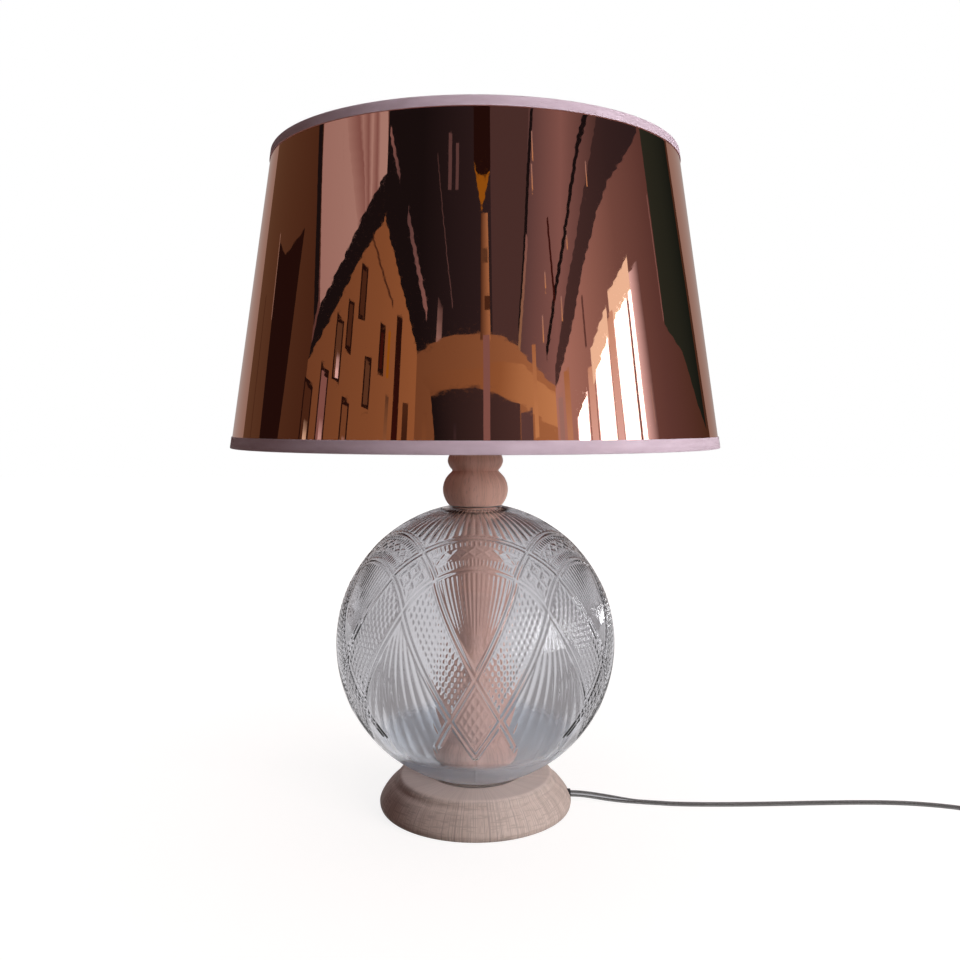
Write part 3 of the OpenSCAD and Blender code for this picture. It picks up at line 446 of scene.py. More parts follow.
# Flex
FLEX_WIDE = 5.0 * MM
FLEX_LOBE = 1.25 * MM
FLEX_WAIST = 0.8 * MM
STRAND_R = 0.6 * MM
STRAND_SIDES = 10
LOBE_HALF_ANGLE = 125
LOBE_POINTS = 11
FLEX_STEP = 3 * MM
FLAT_H = 1.3 * MM
ENTRY_H = 5.0 * MM
ON_EDGE_UNTIL = 0.082
FLAT_FROM = 0.125
COIL_MIDDLE = (0.433, -0.172)
COIL_R = 0.041
COIL_PITCH = 5.6 * MM
COIL_TURNS = 6.5
COIL_STEPS = 48
COIL_LOW = 1.85 * MM
COIL_LAYER = 3.05 * MM
LEAD = [(0.0685, 0, 0.0065), (0.0755, 0, 0.0064), (0.084, 0, 0.0056), (0.094, -0.0002, 0.0041),
        (0.104, -0.0008, 0.0027), (0.114, -0.002, 0.0017), (0.124, -0.0036, FLAT_H),
        (0.136, -0.0056, FLAT_H), (0.150, -0.0076, FLAT_H), (0.172, -0.0086, FLAT_H),
        (0.200, -0.0085, FLAT_H), (0.230, -0.0075, FLAT_H), (0.260, -0.0062, FLAT_H),
        (0.290, -0.0056, FLAT_H), (0.316, -0.0066, FLAT_H), (0.338, -0.010, FLAT_H),
        (0.358, -0.016, FLAT_H), (0.374, -0.0255, FLAT_H), (0.385, -0.038, FLAT_H),
        (0.391, -0.050, 0.0026), (0.392, -0.059, 0.0042), (0.392, -0.066, ENTRY_H),
        (0.392, -0.094, ENTRY_H)]
TAIL = [(0.392, -0.122, ENTRY_H), (0.392, -0.130, 0.0042), (0.392, -0.140, 0.0033), (0.392, -0.150, 0.0022),
        (0.392, -0.159, COIL_LOW), (0.392, -0.167, COIL_LOW)]
END = [(0.474, -0.167, 0.0049), (0.474, -0.161, 0.0052), (0.474, -0.154, 0.0059), (0.474, -0.147, 0.0066),
       (0.474, -0.140, 0.00685), (0.474, -0.112, 0.00685)]


def coil_points():
    """Two flat layers of turns: inward below, outward above."""
    turn = np.linspace(0, COIL_TURNS, int(COIL_TURNS * COIL_STEPS) + 1)
    half = COIL_TURNS / 2
    radius = COIL_R - COIL_PITCH * (half - np.abs(turn - half))
    angle = math.pi + 2 * math.pi * turn
    rise = np.clip((turn - half + 0.25) / 0.5, 0, 1)
    x = COIL_MIDDLE[0] + radius * np.cos(angle)
    y = COIL_MIDDLE[1] + radius * np.sin(angle)
    return np.stack([x, y, COIL_LOW + COIL_LAYER * rise], axis=-1).tolist()


def eased(points, spacing):
    """A smooth line through points, as short steps."""
    points = np.array(points, float)
    padded = np.vstack([2 * points[0] - points[1], points, 2 * points[-1] - points[-2]])
    line = []
    for before, first, second, after in zip(padded, padded[1:], padded[2:], padded[3:]):
        count = max(1, int(np.linalg.norm(second - first) / spacing))
        t = np.arange(count)[:, None] / count
        line.append(0.5 * (2 * first + (second - before) * t
                           + (2 * before - 5 * first + 4 * second - after) * t ** 2
                           + (3 * first - before - 3 * second + after) * t ** 3))
    return np.vstack(line + [points[-1:]])


def swept(name, line, section, shift=0.0):
    """A tube along a line: the section's first axis lies flat, and stands on edge near the lamp."""
    along = np.gradient(line, axis=0)
    along /= np.linalg.norm(along, axis=1)[:, None]
    level = np.stack([-along[:, 1], along[:, 0], np.zeros(len(line))], axis=-1)
    level /= np.linalg.norm(level, axis=1)[:, None]
    upright = np.cross(along, level)
    turn = (1 - smooth_step(line[:, 0], ON_EDGE_UNTIL, FLAT_FROM)) * math.pi / 2
    turn = turn[:, None]
    wide = level * np.cos(turn) + upright * np.sin(turn)
    thin = upright * np.cos(turn) - level * np.sin(turn)
    centre = line + wide * shift
    rings = centre[:, None] + section[:, 0, None] * wide[:, None] + section[:, 1, None] * thin[:, None]
    return ring_mesh(name, rings, False)


def twin_section():
    """Two round lobes side by side, joined by a thinner waist."""
    offset = FLEX_WIDE / 2 - FLEX_LOBE
    arc = np.radians(np.linspace(-LOBE_HALF_ANGLE, LOBE_HALF_ANGLE, LOBE_POINTS))
    right = np.stack([offset + FLEX_LOBE * np.cos(arc), FLEX_LOBE * np.sin(arc)], axis=-1)
    return np.vstack([right, [[0, FLEX_WAIST]], -right, [[0, -FLEX_WAIST]]])


def round_section():
    """A strand of wires."""
    arc = full_turn(STRAND_SIDES)
    return np.stack([np.cos(arc), np.sin(arc)], axis=-1) * STRAND_R


def strand_material():
    """Tinned copper wires twisted into a strand."""
    made, tree = material_tree("tinned_strand")
    twist = drawn_out(tree, object_point(tree), (900.0, 900.0, 900.0), 2.0)
    colour = tinted(tree, twist, (0.22, 0.215, 0.205, 1), (0.54, 0.53, 0.51, 1))
    finish_surface(tree, {
        "Base Color": colour, "Metallic": 0.8, "Roughness": 0.4, "Normal": bump(tree, twist, STRAND_TWIST)})
    return made


flex_line = eased(LEAD + TAIL + coil_points() + END, FLEX_STEP)
flex_clear = clear("flex_clear", (0.72, 0.72, 0.72), 0.18)
flex = place("flex", swept("flex", flex_line, twin_section()), flex_clear)
strands = strand_material()
wires = [place(name, swept(name, flex_line, round_section(), side * FLEX_LOBE), strands)
         for name, side in (("flex_wire_a", -1), ("flex_wire_b", 1))]
for piece in (flex, *wires):
    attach(piece, "lamp")
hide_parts("cord_lead", "cord_tail", "cord_coil", "cord_end")


# Turned column inside the glass: millimetres of radius, and of height above the foot's boss
COLUMN_LOW = [(22.0, 0.0), (26.0, 2.2), (28.0, 9.0), (26.6, 17.0), (23.2, 22.4), (22.8, 24.6), (25.4, 30.0),
              (26.6, 38.0), (24.6, 52.0), (19.4, 72.0), (13.8, 89.0), (13.0, 97.0)]
COLUMN_HIGH = [(15.8, 112.0), (20.2, 129.0), (21.0, 138.0), (19.8, 148.0)]
COLUMN_TOP_R = 17.5 * MM
COLUMN_STEP = 2 * MM

column_low, column_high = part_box("inner_column")


def column_profile():
    """Bun foot, belly, waist and shoulder, with the bore."""
    flank = np.array(COLUMN_LOW + COLUMN_HIGH) * MM + (0, column_low.z)
    flank = eased([*flank.tolist(), (COLUMN_TOP_R, column_high.z)], COLUMN_STEP)
    return np.vstack([[(BORE_R, column_low.z)], flank, [(BORE_R, column_high.z)]])


turned_wood("column", column_profile(), column_beech_painted_shade, "inner_column")


# Neck on top of the glass: millimetres of radius, and of height above the glass
NECK = [(19.6, 0.0), (21.8, 3.1), (23.5, 7.4), (24.0, 11.6), (23.6, 14.8), (22.8, 17.5), (21.2, 20.5),
        (19.3, 22.7), (17.4, 24.6), (16.9, 25.3), (17.4, 26.2), (18.9, 28.0), (19.9, 30.1), (20.4, 32.4),
        (20.0, 34.8), (19.0, 37.0)]
NECK_TOP_R = 17.9 * MM
SPIGOT_R = 14.6 * MM
SPIGOT_H = 6.0 * MM
NECK_STEP = 0.9 * MM

neck_low, neck_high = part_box("wood_neck")


def neck_profile():
    """Spigot into the glass, ball, groove and bead, with the bore."""
    spigot = [(BORE_R, neck_low.z), (SPIGOT_R, neck_low.z), (SPIGOT_R, neck_low.z + SPIGOT_H)]
    flank = np.array(NECK) * MM + (0, neck_low.z + SPIGOT_H)
    flank = eased([*flank.tolist(), (NECK_TOP_R, neck_high.z)], NECK_STEP)
    return np.vstack([spigot, flank, [(BORE_R, neck_high.z)]])


turned_wood("neck", neck_profile(), neck_beech_painted_light, "wood_neck")


# Pressed-glass globe: its wall
GLASS_T = 3.5 * MM
THICK_FOOT = 2.5 * MM
MOUTH_R = 30.0 * MM
EYE_R = 15.0 * MM
INSIDE_RIPPLE = 0.25 * MM
GLOBE_SIDES = 864
FOOT_ROWS = 20
PATTERN_ROWS = 300
TOP_ROWS = 6
INSIDE_ROWS = 60

# Its pattern in degrees: arches by base, rise and reach, straight bars by foot and slope
CELL = 60.0
PATTERN_LOW = -44.0
PATTERN_HIGH = 77.0
OUTER_ARCH = (20.8, 34.0, 46.0)
OUTER_ARCH_END = 43.0
ARCH_MIDDLE = 12.0
INNER_ARCH = (12.5, 27.5, 32.0)
BLOCK_LINE = (25.0, -1.68, 28.5)
KNOT = -1.0
VEE_SLOPE = 1.93
LOW_SLOPE = -1.75
LOW_END = -30.0
FAN = (-34.5, 1.88)
FAN_LOW = -36.0
FAN_HIGH = 24.0
FAN_HALF = 17.0
DASH_PITCH = 2.55
LATTICE_PITCH = 9.4
FLUTE_PITCH = 6.0
MILKY_TO = -46.0
CLEAR_FROM = -39.0

# Its cutting in millimetres
BAR_HALF = 1.7
BAR_RISE = 0.1
EDGE_GROOVE = 0.7
EDGE_WIDE = 0.75
NAIL_PITCH = 3.5
NET_PITCH = 4.6
DASH_CUT = 0.6
LATTICE_CUT = 0.6
RULE_CUT = 0.35
BLOCK_CUT = 0.95
RIB_CUT = 0.5
NAIL_CUT = 0.4
NET_CUT = 0.6
FAN_CUT = 0.32
FLUTE_CUT = 1.0
SEAM_RISE = 0.35
SEAM_WIDE = 0.6
RELIEF_DROP = 0.25
CUT_SHARE = 0.75
BAND_EASE = 0.03

globe_low, globe_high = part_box("glass_globe")
globe_r = globe_high.x
globe_z = globe_low.z + math.sqrt(globe_r ** 2 - MOUTH_R ** 2)


def waves(phase):
    """Round ridges, one to every whole number."""
    return np.abs(np.sin(math.pi * phase))


def within(value, low, high):
    """One between two limits, easing to nought beyond them."""
    entered = smooth_step(value, low - BAND_EASE, low + BAND_EASE)
    return entered * (1 - smooth_step(value, high - BAND_EASE, high + BAND_EASE))


def groove(count, wide):
    """A narrow line at every whole number."""
    return np.exp(-((count - np.round(count)) / wide) ** 2)


def relief(azimuth, latitude):
    """Height of the pressed pattern in millimetres, at degrees round from the photograph's side and degrees
    up from the middle."""
    degree = globe_r / MM * math.pi / 180
    a = np.abs((azimuth + CELL / 2) % CELL - CELL / 2)
    b = CELL - a
    v = latitude
    narrow = np.cos(np.radians(v))

    def away(curve, slope):
        return (v - curve) * degree / np.sqrt(1 + (slope / narrow) ** 2)

    def arch(base, rise, reach, u):
        inside = np.sqrt(np.clip(1 - (u / reach) ** 2, 0.02, 1))
        return base + rise * inside, -rise * u / reach ** 2 / inside

    def bar(foot, slope):
        line = foot + slope * a
        return line, away(line, slope)

    outer, outer_slope = arch(*OUTER_ARCH, a)
    beside, beside_slope = arch(*OUTER_ARCH, b)
    inner, inner_slope = arch(*INNER_ARCH, a)
    block_base, block_slope, block_from = BLOCK_LINE
    inner_beside = block_base + block_slope * (b - block_from)
    vee, from_vee = bar(KNOT, VEE_SLOPE)
    low, from_low = bar(KNOT, LOW_SLOPE)
    fan, from_fan = bar(*FAN)
    from_outer = away(outer, outer_slope)

    # Bars between the fields
    far = 99.0
    near = np.minimum.reduce([
        np.abs(from_outer),
        np.where(b < OUTER_ARCH_END, np.abs(away(beside, beside_slope)), far),
        np.abs(away(inner, inner_slope)),
        np.where((v > KNOT) & (v < inner), np.abs(from_vee), far),
        np.where((v < KNOT) & (v > LOW_END), np.abs(from_low), far),
        np.where((v < FAN_HIGH) & (v > FAN_LOW), np.abs(from_fan), far)])
    bars = BAR_RISE * (1 - smooth_step(near, BAR_HALF - 0.3, BAR_HALF + 0.3))
    bars -= EDGE_GROOVE * np.exp(-((near - BAR_HALF) / EDGE_WIDE) ** 2)
    open_field = smooth_step(near, BAR_HALF + 0.8, BAR_HALF + 1.8)

    # Fields, each with its own cutting
    along = np.clip((v - inner) / (outer - inner), 0, 1)
    across = np.clip((v - inner_beside) / (beside - inner_beside), 0, 1)
    bearing = np.degrees(np.arctan2(a * narrow, v - ARCH_MIDDLE))
    dashes = -DASH_CUT * np.clip(np.cos(2 * math.pi * bearing / DASH_PITCH), 0, 1)
    dashes = dashes * (within(along, 0.74, 0.93) + within(along, 0.07, 0.30))
    row = (along - 0.40) / 0.28
    place_in_row = bearing / LATTICE_PITCH
    crosses = np.maximum(groove(place_in_row - row, 0.13), groove(place_in_row + row, 0.13))
    lattice = -LATTICE_CUT * crosses * within(along, 0.40, 0.68)
    rules = -RULE_CUT * (np.exp(-((along - 0.71) / 0.016) ** 2) + np.exp(-((along - 0.35) / 0.016) ** 2))
    arch_field = dashes + lattice + rules
    first, second = (along - 0.2) / 0.3, (across - 0.2) / 0.3
    first_line, second_line = groove(first, 0.1), groove(second, 0.1)
    blocks = np.maximum(first_line * (1 - groove(second, 0.14)), second_line * (1 - groove(first, 0.14)))
    blocks = -BLOCK_CUT * blocks * within(first, -0.2, 2.2) * within(second, -0.2, 2.2)
    vee_ribs = -RIB_CUT * waves(a / np.maximum(v + 1, 1) / 0.06) * smooth_step(v, 4, 24)
    nails = -NAIL_CUT + 2 * NAIL_CUT * np.sqrt(waves(from_vee / NAIL_PITCH) * waves(from_low / NAIL_PITCH))
    net = -NET_CUT * np.maximum(groove(from_fan / NET_PITCH, 0.2), groove(from_low / NET_PITCH, 0.2))
    fan_ribs = -FAN_CUT * waves((CELL / 2 - a) / np.maximum(26 - v, 1) / 0.106)
    fan_ribs = fan_ribs * (1 - smooth_step(v, 4, 20)) * smooth_step(v, -42, -35)
    flutes = -FLUTE_CUT * waves(azimuth / FLUTE_PITCH) * smooth_step(from_outer, 2, 6)
    flutes = flutes * (1 - smooth_step(v, 73, 77))

    fields = [(v > outer, flutes), (v > np.maximum(inner, beside), arch_field), (v > inner, blocks),
              (v > vee, vee_ribs), ((v > fan) & (v > low), nails), (v > fan, net),
              ((v > low) | (a > FAN_HALF), fan_ribs)]
    cut = np.select([where for where, _ in fields], [height for _, height in fields], 0.0)

    # Seam of the two-part mould, on the plain band at the bottom
    seam_off = np.abs((azimuth + 90) % 180 - 90) * degree * narrow
    seam = SEAM_RISE * np.exp(-(seam_off / SEAM_WIDE) ** 2) * (1 - smooth_step(v, -38, -34))
    return bars + CUT_SHARE * cut * open_field + seam - RELIEF_DROP


def globe_mesh():
    """The patterned outside and the slightly wavy inside, joined at the mouth below and the eye above."""
    fine = 1.0
    around = int(GLOBE_SIDES * fine)
    mouth = -math.degrees(math.acos(MOUTH_R / globe_r))
    eye = math.degrees(math.acos(EYE_R / globe_r))
    latitude = np.concatenate([np.linspace(mouth, PATTERN_LOW, FOOT_ROWS)[:-1],
                               np.linspace(PATTERN_LOW, PATTERN_HIGH, int(PATTERN_ROWS * fine))[:-1],
                               np.linspace(PATTERN_HIGH, eye, TOP_ROWS)])
    azimuth = np.arange(around) * 360.0 / around
    height = relief(azimuth[None, :], latitude[:, None]) * MM
    fade = smooth_step(latitude, mouth, mouth + 5) * (1 - smooth_step(latitude, eye - 3, eye))
    radius = globe_r + height * fade[:, None]
    inner_latitude = np.linspace(eye, mouth, INSIDE_ROWS)
    ripple = np.sin(np.radians(azimuth[None, :] * 5)) * np.sin(np.radians(inner_latitude[:, None] * 4))
    thick = GLASS_T + THICK_FOOT * (1 - smooth_step(inner_latitude, mouth, -40))
    inner_radius = globe_r - thick[:, None] + INSIDE_RIPPLE * ripple
    everywhere = np.radians(np.concatenate([latitude, inner_latitude]))[:, None]
    full_radius = np.vstack([radius, inner_radius])
    angles = np.radians(azimuth)[None, :]
    flat = full_radius * np.cos(everywhere)
    rings = np.stack([flat * np.sin(angles), -flat * np.cos(angles),
                      globe_z + full_radius * np.sin(everywhere)], axis=-1)
    return ring_mesh("globe", rings, True)


milky_z, clear_z = (globe_z + globe_r * math.sin(math.radians(latitude))
                    for latitude in (MILKY_TO, CLEAR_FROM))
globe = place("globe", globe_mesh(), pressed_glass(milky_z, clear_z))
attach(globe, "lamp")
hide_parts("glass_globe")


# Shade
SEAM_HALF = 6.0 * MM
SEAM_STEP = 0.35 * MM
SHADE_SIDES = 288
SHADE_ROWS = 24

skin_low, skin_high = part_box("shade_skin")
skin_points = np.array([v.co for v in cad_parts["shade_skin"].data.vertices])
skin_radii = np.hypot(skin_points[:, 0], skin_points[:, 1])
at_top = skin_points[:, 2] > skin_high.z - 1 * MM
top_outer, top_inner = skin_radii[at_top].max(), skin_radii[at_top].min()
bottom_outer = skin_radii.max()
skin_wall = top_outer - top_inner


def shade_mesh():
    """Foil outside, its satin back inside, with the sheet's overlap at the back."""
    edge = SEAM_HALF / bottom_outer
    overlap = math.pi + np.array([-edge, -edge * 0.9, edge * 0.9, edge])
    angles = np.sort(np.concatenate([full_turn(SHADE_SIDES), overlap]))
    share = np.linspace(0, 1, SHADE_ROWS)
    heights = skin_low.z + share * (skin_high.z - skin_low.z)
    outer = bottom_outer + share * (top_outer - bottom_outer)
    lapped = np.abs(angles - math.pi) < edge * 0.95
    outside = outer[:, None] + np.where(lapped, SEAM_STEP, 0.0)[None, :]
    inside = np.repeat((outer - skin_wall)[::-1, None], len(angles), axis=1)
    radii = np.vstack([outside, inside])
    mesh = lathe("shade_foil", radii, np.concatenate([heights, heights[::-1]]), angles)
    mesh.set_sharp_from_angle(angle=SHARP)
    foil_faces = (len(share) - 1) * len(angles)
    slots = np.ones(len(mesh.polygons), int)
    slots[:foil_faces] = 0
    mesh.polygons.foreach_set("material_index", slots)
    return mesh


foil = foil_material((bottom_outer + top_outer) / 2)
liner = plain("copper_back", (0.50, 0.25, 0.19), 0.42, 0.6, 0.03 * MM, 500.0)
shade_sheet = place("shade_foil", shade_mesh(), foil, liner)
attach(shade_sheet, "shade")
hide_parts("shade_skin")

# Tapes folded over the shade's two edges
TAPE_T = 0.5 * MM
TAPE_FOLD = 5.0 * MM
SOLID_TAPE_H = 8.0 * MM
HIGH_TAPE_H = 6.4 * MM
TAPE_SHARP = math.radians(50)
ROUND_OUT = [(0.0, 0.7 * MM), (0.25 * MM, 0.15 * MM), (0.9 * MM, 0.0)]
ROUND_IN = [(TAPE_T, 0.9 * MM), (1.1 * MM, TAPE_T)]

low_tape_box, high_tape_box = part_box("bottom_trim"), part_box("top_trim")
low_edge_z, high_edge_z = low_tape_box[0].z, high_tape_box[1].z
low_edge_r, high_leg_r = low_tape_box[1].x, high_tape_box[1].x
lean = (high_leg_r - low_edge_r) / (high_edge_z - SOLID_TAPE_H - low_edge_z)


def tape_mesh(name, edge_z, rise, height):
    """An outer leg, a rounded fold over the edge, and an inner leg."""
    far_out = [(TAPE_FOLD - depth, along) for depth, along in reversed(ROUND_OUT)]
    far_in = [(TAPE_FOLD - depth, along) for depth, along in ROUND_IN]
    section = [(0, height), (0, height * 0.5), *ROUND_OUT, *far_out, (TAPE_FOLD, height),
               (TAPE_FOLD - TAPE_T, height), *far_in, *reversed(ROUND_IN), (TAPE_T, height * 0.5),
               (TAPE_T, height)]
    depth, along = np.array(section).T
    heights = edge_z + rise * along
    radii = low_edge_r + (heights - low_edge_z) * lean - depth
    mesh = lathe(name, radii[:, None], heights, full_turn(SHADE_SIDES))
    mesh.set_sharp_from_angle(angle=TAPE_SHARP)
    return mesh


for tape_name, node, edge_z, rise, tape_h in (("low_tape", "bottom_trim", low_edge_z, 1, SOLID_TAPE_H),
                                             ("high_tape", "top_trim", high_edge_z, -1, HIGH_TAPE_H)):
    tape = place(tape_name, tape_mesh(tape_name, edge_z, rise, tape_h), tape_material(bottom_outer))
    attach(tape, "shade")
    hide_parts(node)


# Floor and background
SOFT_TONE = (0.060, 0.022, 0.017, 1)
LIGHT_TONE = (0.64, 0.63, 0.66, 1)
DARK_TONE = (0.27, 0.255, 0.265, 1)
PALE_TONE = (0.74, 0.72, 0.72, 1)
SECTORS = 8
WHITE = (1, 1, 1, 1)
FLOOR_COLOUR = (0.26, 0.22, 0.205, 1)
FLOOR_SIZE = 8
SHADOW_FROM = 0.08
SHADOW_TO = 0.60
SHADOW_GLOW = 0.86


def rays(tree):
    """One where the camera itself looks, where a mirror looks, and where a glass looks."""
    light_path = add(tree, "ShaderNodeLightPath")
    return [light_path.outputs[name] for name in ("Is Camera Ray", "Is Glossy Ray", "Is Transmission Ray")]


def floor_material():
    """A pale table that keeps the lamp's shadow and runs out into the white background; through glass it is
    light towards the usual viewpoints and darker between, as cut glass is lit to draw its lines."""
    made, tree = material_tree("floor")
    camera_ray, mirror_ray, glass_ray = rays(tree)
    point = object_point(tree)
    reach = add(tree, "ShaderNodeVectorMath", {0: point}, operation="LENGTH").outputs["Value"]
    pale = add(tree, "ShaderNodeBsdfDiffuse", {"Color": FLOOR_COLOUR}).outputs[0]
    spread = ramp(tree, reach, SHADOW_FROM, SHADOW_TO, SHADOW_GLOW, 1.0)
    strength = sums(tree, "MULTIPLY", spread, camera_ray)
    glow = add(tree, "ShaderNodeEmission", {"Color": WHITE, "Strength": strength}).outputs[0]
    shown = add(tree, "ShaderNodeAddShader", {0: pale, 1: glow}).outputs[0]
    split = add(tree, "ShaderNodeSeparateXYZ", {0: point})
    angle = sums(tree, "ARCTAN2", split.outputs[0], split.outputs[1])
    swing = sums(tree, "COSINE", sums(tree, "MULTIPLY", angle, float(SECTORS)))
    tone = tinted(tree, ramp(tree, swing, -0.7, 0.1), DARK_TONE, LIGHT_TONE)
    seen = tinted(tree, glass_ray, PALE_TONE, tone)
    past = sums(tree, "MAXIMUM", mirror_ray, glass_ray)
    beyond = add(tree, "ShaderNodeEmission", {"Color": seen, "Strength": 1.0}).outputs[0]
    finish_tree(tree, add(tree, "ShaderNodeMixShader", {0: past, 1: shown, 2: beyond}).outputs[0])
    return made


bpy.ops.mesh.primitive_plane_add(size=FLOOR_SIZE)
floor = bpy.context.object
floor.name = "floor"
floor.data.materials.append(floor_material())

world = bpy.data.worlds.new("room")
bpy.context.scene.world = world
world.use_nodes = True
sky_tree = world.node_tree
sky_tree.nodes.clear()
camera_ray, mirror_ray, glass_ray = rays(sky_tree)
past = sums(sky_tree, "MAXIMUM", mirror_ray, glass_ray)
direction = add(sky_tree, "ShaderNodeTexCoord").outputs["Generated"]
upward = add(sky_tree, "ShaderNodeSeparateXYZ", {0: direction}).outputs[2]
above = tinted(sky_tree, ramp(sky_tree, upward, 0.05, 0.35), LIGHT_TONE, DARK_TONE)
room_tone = tinted(sky_tree, past, SOFT_TONE, above)
sky_tone = tinted(sky_tree, camera_ray, room_tone, WHITE)
ambient = add(sky_tree, "ShaderNodeBackground", {"Color": sky_tone, "Strength": 1.0}).outputs[0]
add(sky_tree, "ShaderNodeOutputWorld", {"Surface": ambient})


# Lamps
def seen_from(azimuth, elevation, distance, height):
    """A place seen from a height on the lamp: azimuth 0 is the photograph's side, positive to its right."""
    turn, rise = math.radians(azimuth), math.radians(elevation)
    return (distance * math.cos(rise) * math.sin(turn), -distance * math.cos(rise) * math.cos(turn),
            distance * math.sin(rise) + height)


def area_lamp(name, azimuth, elevation, distance, wide, high, watts):
    """A soft white lamp turned to the globe, that shows in no mirror and no glass."""
    data = bpy.data.lights.new(name, "AREA")
    data.shape = "RECTANGLE"
    data.size, data.size_y = wide, high
    data.energy = watts
    made = bpy.data.objects.new(name, data)
    made.location = seen_from(azimuth, elevation, distance, globe_z)
    made.rotation_euler = (math.pi / 2 - math.radians(elevation), 0, math.radians(azimuth))
    made.visible_glossy = False
    made.visible_transmission = False
    bpy.context.collection.objects.link(made)


area_lamp("key", 52, 17, 1.9, 1.3, 0.9, 30)
area_lamp("overhead", 40, 75, 2.3, 1.6, 1.6, 9)
area_lamp("fill", 180, 40, 2.2, 1.4, 1.4, 7)


# Room that the foil mirrors, in degrees of azimuth and elevation as seen from the shade
SOOT = (0.012, 0.0095, 0.0115)
JET = (0.020, 0.008, 0.007)
DUSK = (0.034, 0.025, 0.031)
MAUVE = (0.085, 0.056, 0.060)
PLUM = (0.13, 0.087, 0.097)
ROSE = (0.28, 0.175, 0.18)
BLUSH = (0.42, 0.31, 0.31)
LINEN = (0.50, 0.40, 0.40)
UMBER = (0.080, 0.036, 0.020)
WALNUT = (0.125, 0.067, 0.038)
AMBER = (0.20, 0.098, 0.048)
HONEY = (0.34, 0.17, 0.075)
TAN = (0.46, 0.25, 0.125)
APRICOT = (0.66, 0.40, 0.20)
PEACH = (1.10, 0.98, 0.80)
BLOOM = (1.00, 0.85, 0.95)
GOLD = (0.34, 0.24, 0.145)
OIL = (0.34, 0.15, 0.012)
CRIMSON = (0.050, 0.010, 0.008)
COPPER = (0.27, 0.155, 0.155)
CLAY = (0.14, 0.077, 0.075)
RUSSET = (0.52, 0.335, 0.31)
SALMON = (0.74, 0.52, 0.40)
MOSS = (0.028, 0.040, 0.031)
PINE = (0.011, 0.016, 0.013)
BEIGE = (0.35, 0.25, 0.215)
PLASTER = (0.52, 0.50, 0.50)
GLOW = (2.4, 2.4, 2.6)
DAYLIGHT = (8.0, 8.0, 8.2)
FLOOR_LEVEL = -20
SILL = -2
ROOF = 60
FRAME_EDGE = 0.35
PANE_EDGE = 0.6


def band(low, high, left, right=None):
    """Patches between two lines with as many points: four corners each, and a tone on either side."""
    right = right or left
    count = len(low) - 1
    tones = [[a + (b - a) * k / count for a, b in zip(left, right)] for k in range(count + 1)]
    return [(low[k], low[k + 1], high[k + 1], high[k], tones[k], tones[k + 1]) for k in range(count)]


def at_level(line, elevation):
    """A line's points brought to one height."""
    return [(azimuth, elevation) for azimuth, _ in line]


def strip(line, wide, left, right=None):
    """A line of some width, such as a beam, a post or a chink of light."""
    run, rise = line[-1][0] - line[0][0], line[-1][1] - line[0][1]
    length = math.hypot(run, rise)
    aside = np.array((-rise, run)) / length * wide / 2
    return band([tuple(point - aside) for point in np.array(line)],
                [tuple(point + aside) for point in np.array(line)], left, right)


def post(azimuth, low, high, wide, left, right=None):
    """An upright strip between two heights."""
    return strip([(azimuth, low), (azimuth, high)], wide, left, right)


def picture(azimuth, low, high, wide, shown, lit=None):
    """A picture in its dark frame, with a patch of light on its lower half."""
    made = post(azimuth, low, high, wide, JET)
    made += post(azimuth, low + FRAME_EDGE, high - FRAME_EDGE, wide - 4 * FRAME_EDGE, shown)
    if lit:
        made += post(azimuth + wide * 0.1, low + FRAME_EDGE, (low + high) / 2, wide * 0.4, lit, shown)
    return made


def fold(left_foot, foot, right_foot, left_top, top, right_top):
    """A soft crease in the curtain, with painted shade darkest along its middle."""
    return (band([left_foot, foot], [left_top, top], BLUSH, COPPER)
            + band([foot, right_foot], [top, right_top], COPPER, LINEN))


def pane(low_left, low_right, high_left, high_right):
    """A window pane with soft edges."""
    def with_edges(left, right):
        return [left, (left[0] + PANE_EDGE, left[1]), (right[0] - PANE_EDGE, right[1]), right]

    low, high = with_edges(low_left, low_right), with_edges(high_left, high_right)
    return (band(low[:2], high[:2], BLOOM, GLOW) + band(low[1:3], high[1:3], DAYLIGHT)
            + band(low[2:], high[2:], GLOW, BLOOM))


PICTURE_TOP = [(-85, 15), (-70, 20), (-60, 23.5), (-47, 27), (-40, 25), (-33, 22.8), (-27, 20.5)]
CURTAIN_LOW = [(-81, 18.7), (-70, 22.5), (-60, 26), (-47.5, 29.6)]
CURTAIN_HIGH = [(-113, 45), (-93, 45), (-75, 45), (-57, 45)]
END_TOP = [(-27, 20.5), (-10, 22), (3, 22.2), (12, 21.8), (20, 21), (25, 20), (38, 17.6)]
ARCH_TOP = [(-25, 19), (-12, 19.8), (2, 20), (12, 20.2), (22, 19.8), (38, 17)]
ARCH_LOW = [(-20, 18.1), (-11, 18.6), (0, 18.8), (10, 18.3), (20, 17.3), (37.5, 15)]
WALL_TOP = [(37, 17.6), (46.5, 20.6), (55, 23.8), (65, 25.8), (75, 26.7), (100, 26.3)]
CORNICE = [(37.5, 19), (46, 23.5), (56, 27), (66, 29.5), (78, 32), (101, 36)]
CHINKS = [(31, 31.3, 32.7), (30.2, 29.6, 31), (61, 27.6, 28.9), (34.6, 23.6, 24.8), (42.2, 21.3, 22.8),
          (32.4, 20.8, 22.4), (47, 25.3, 26.3)]
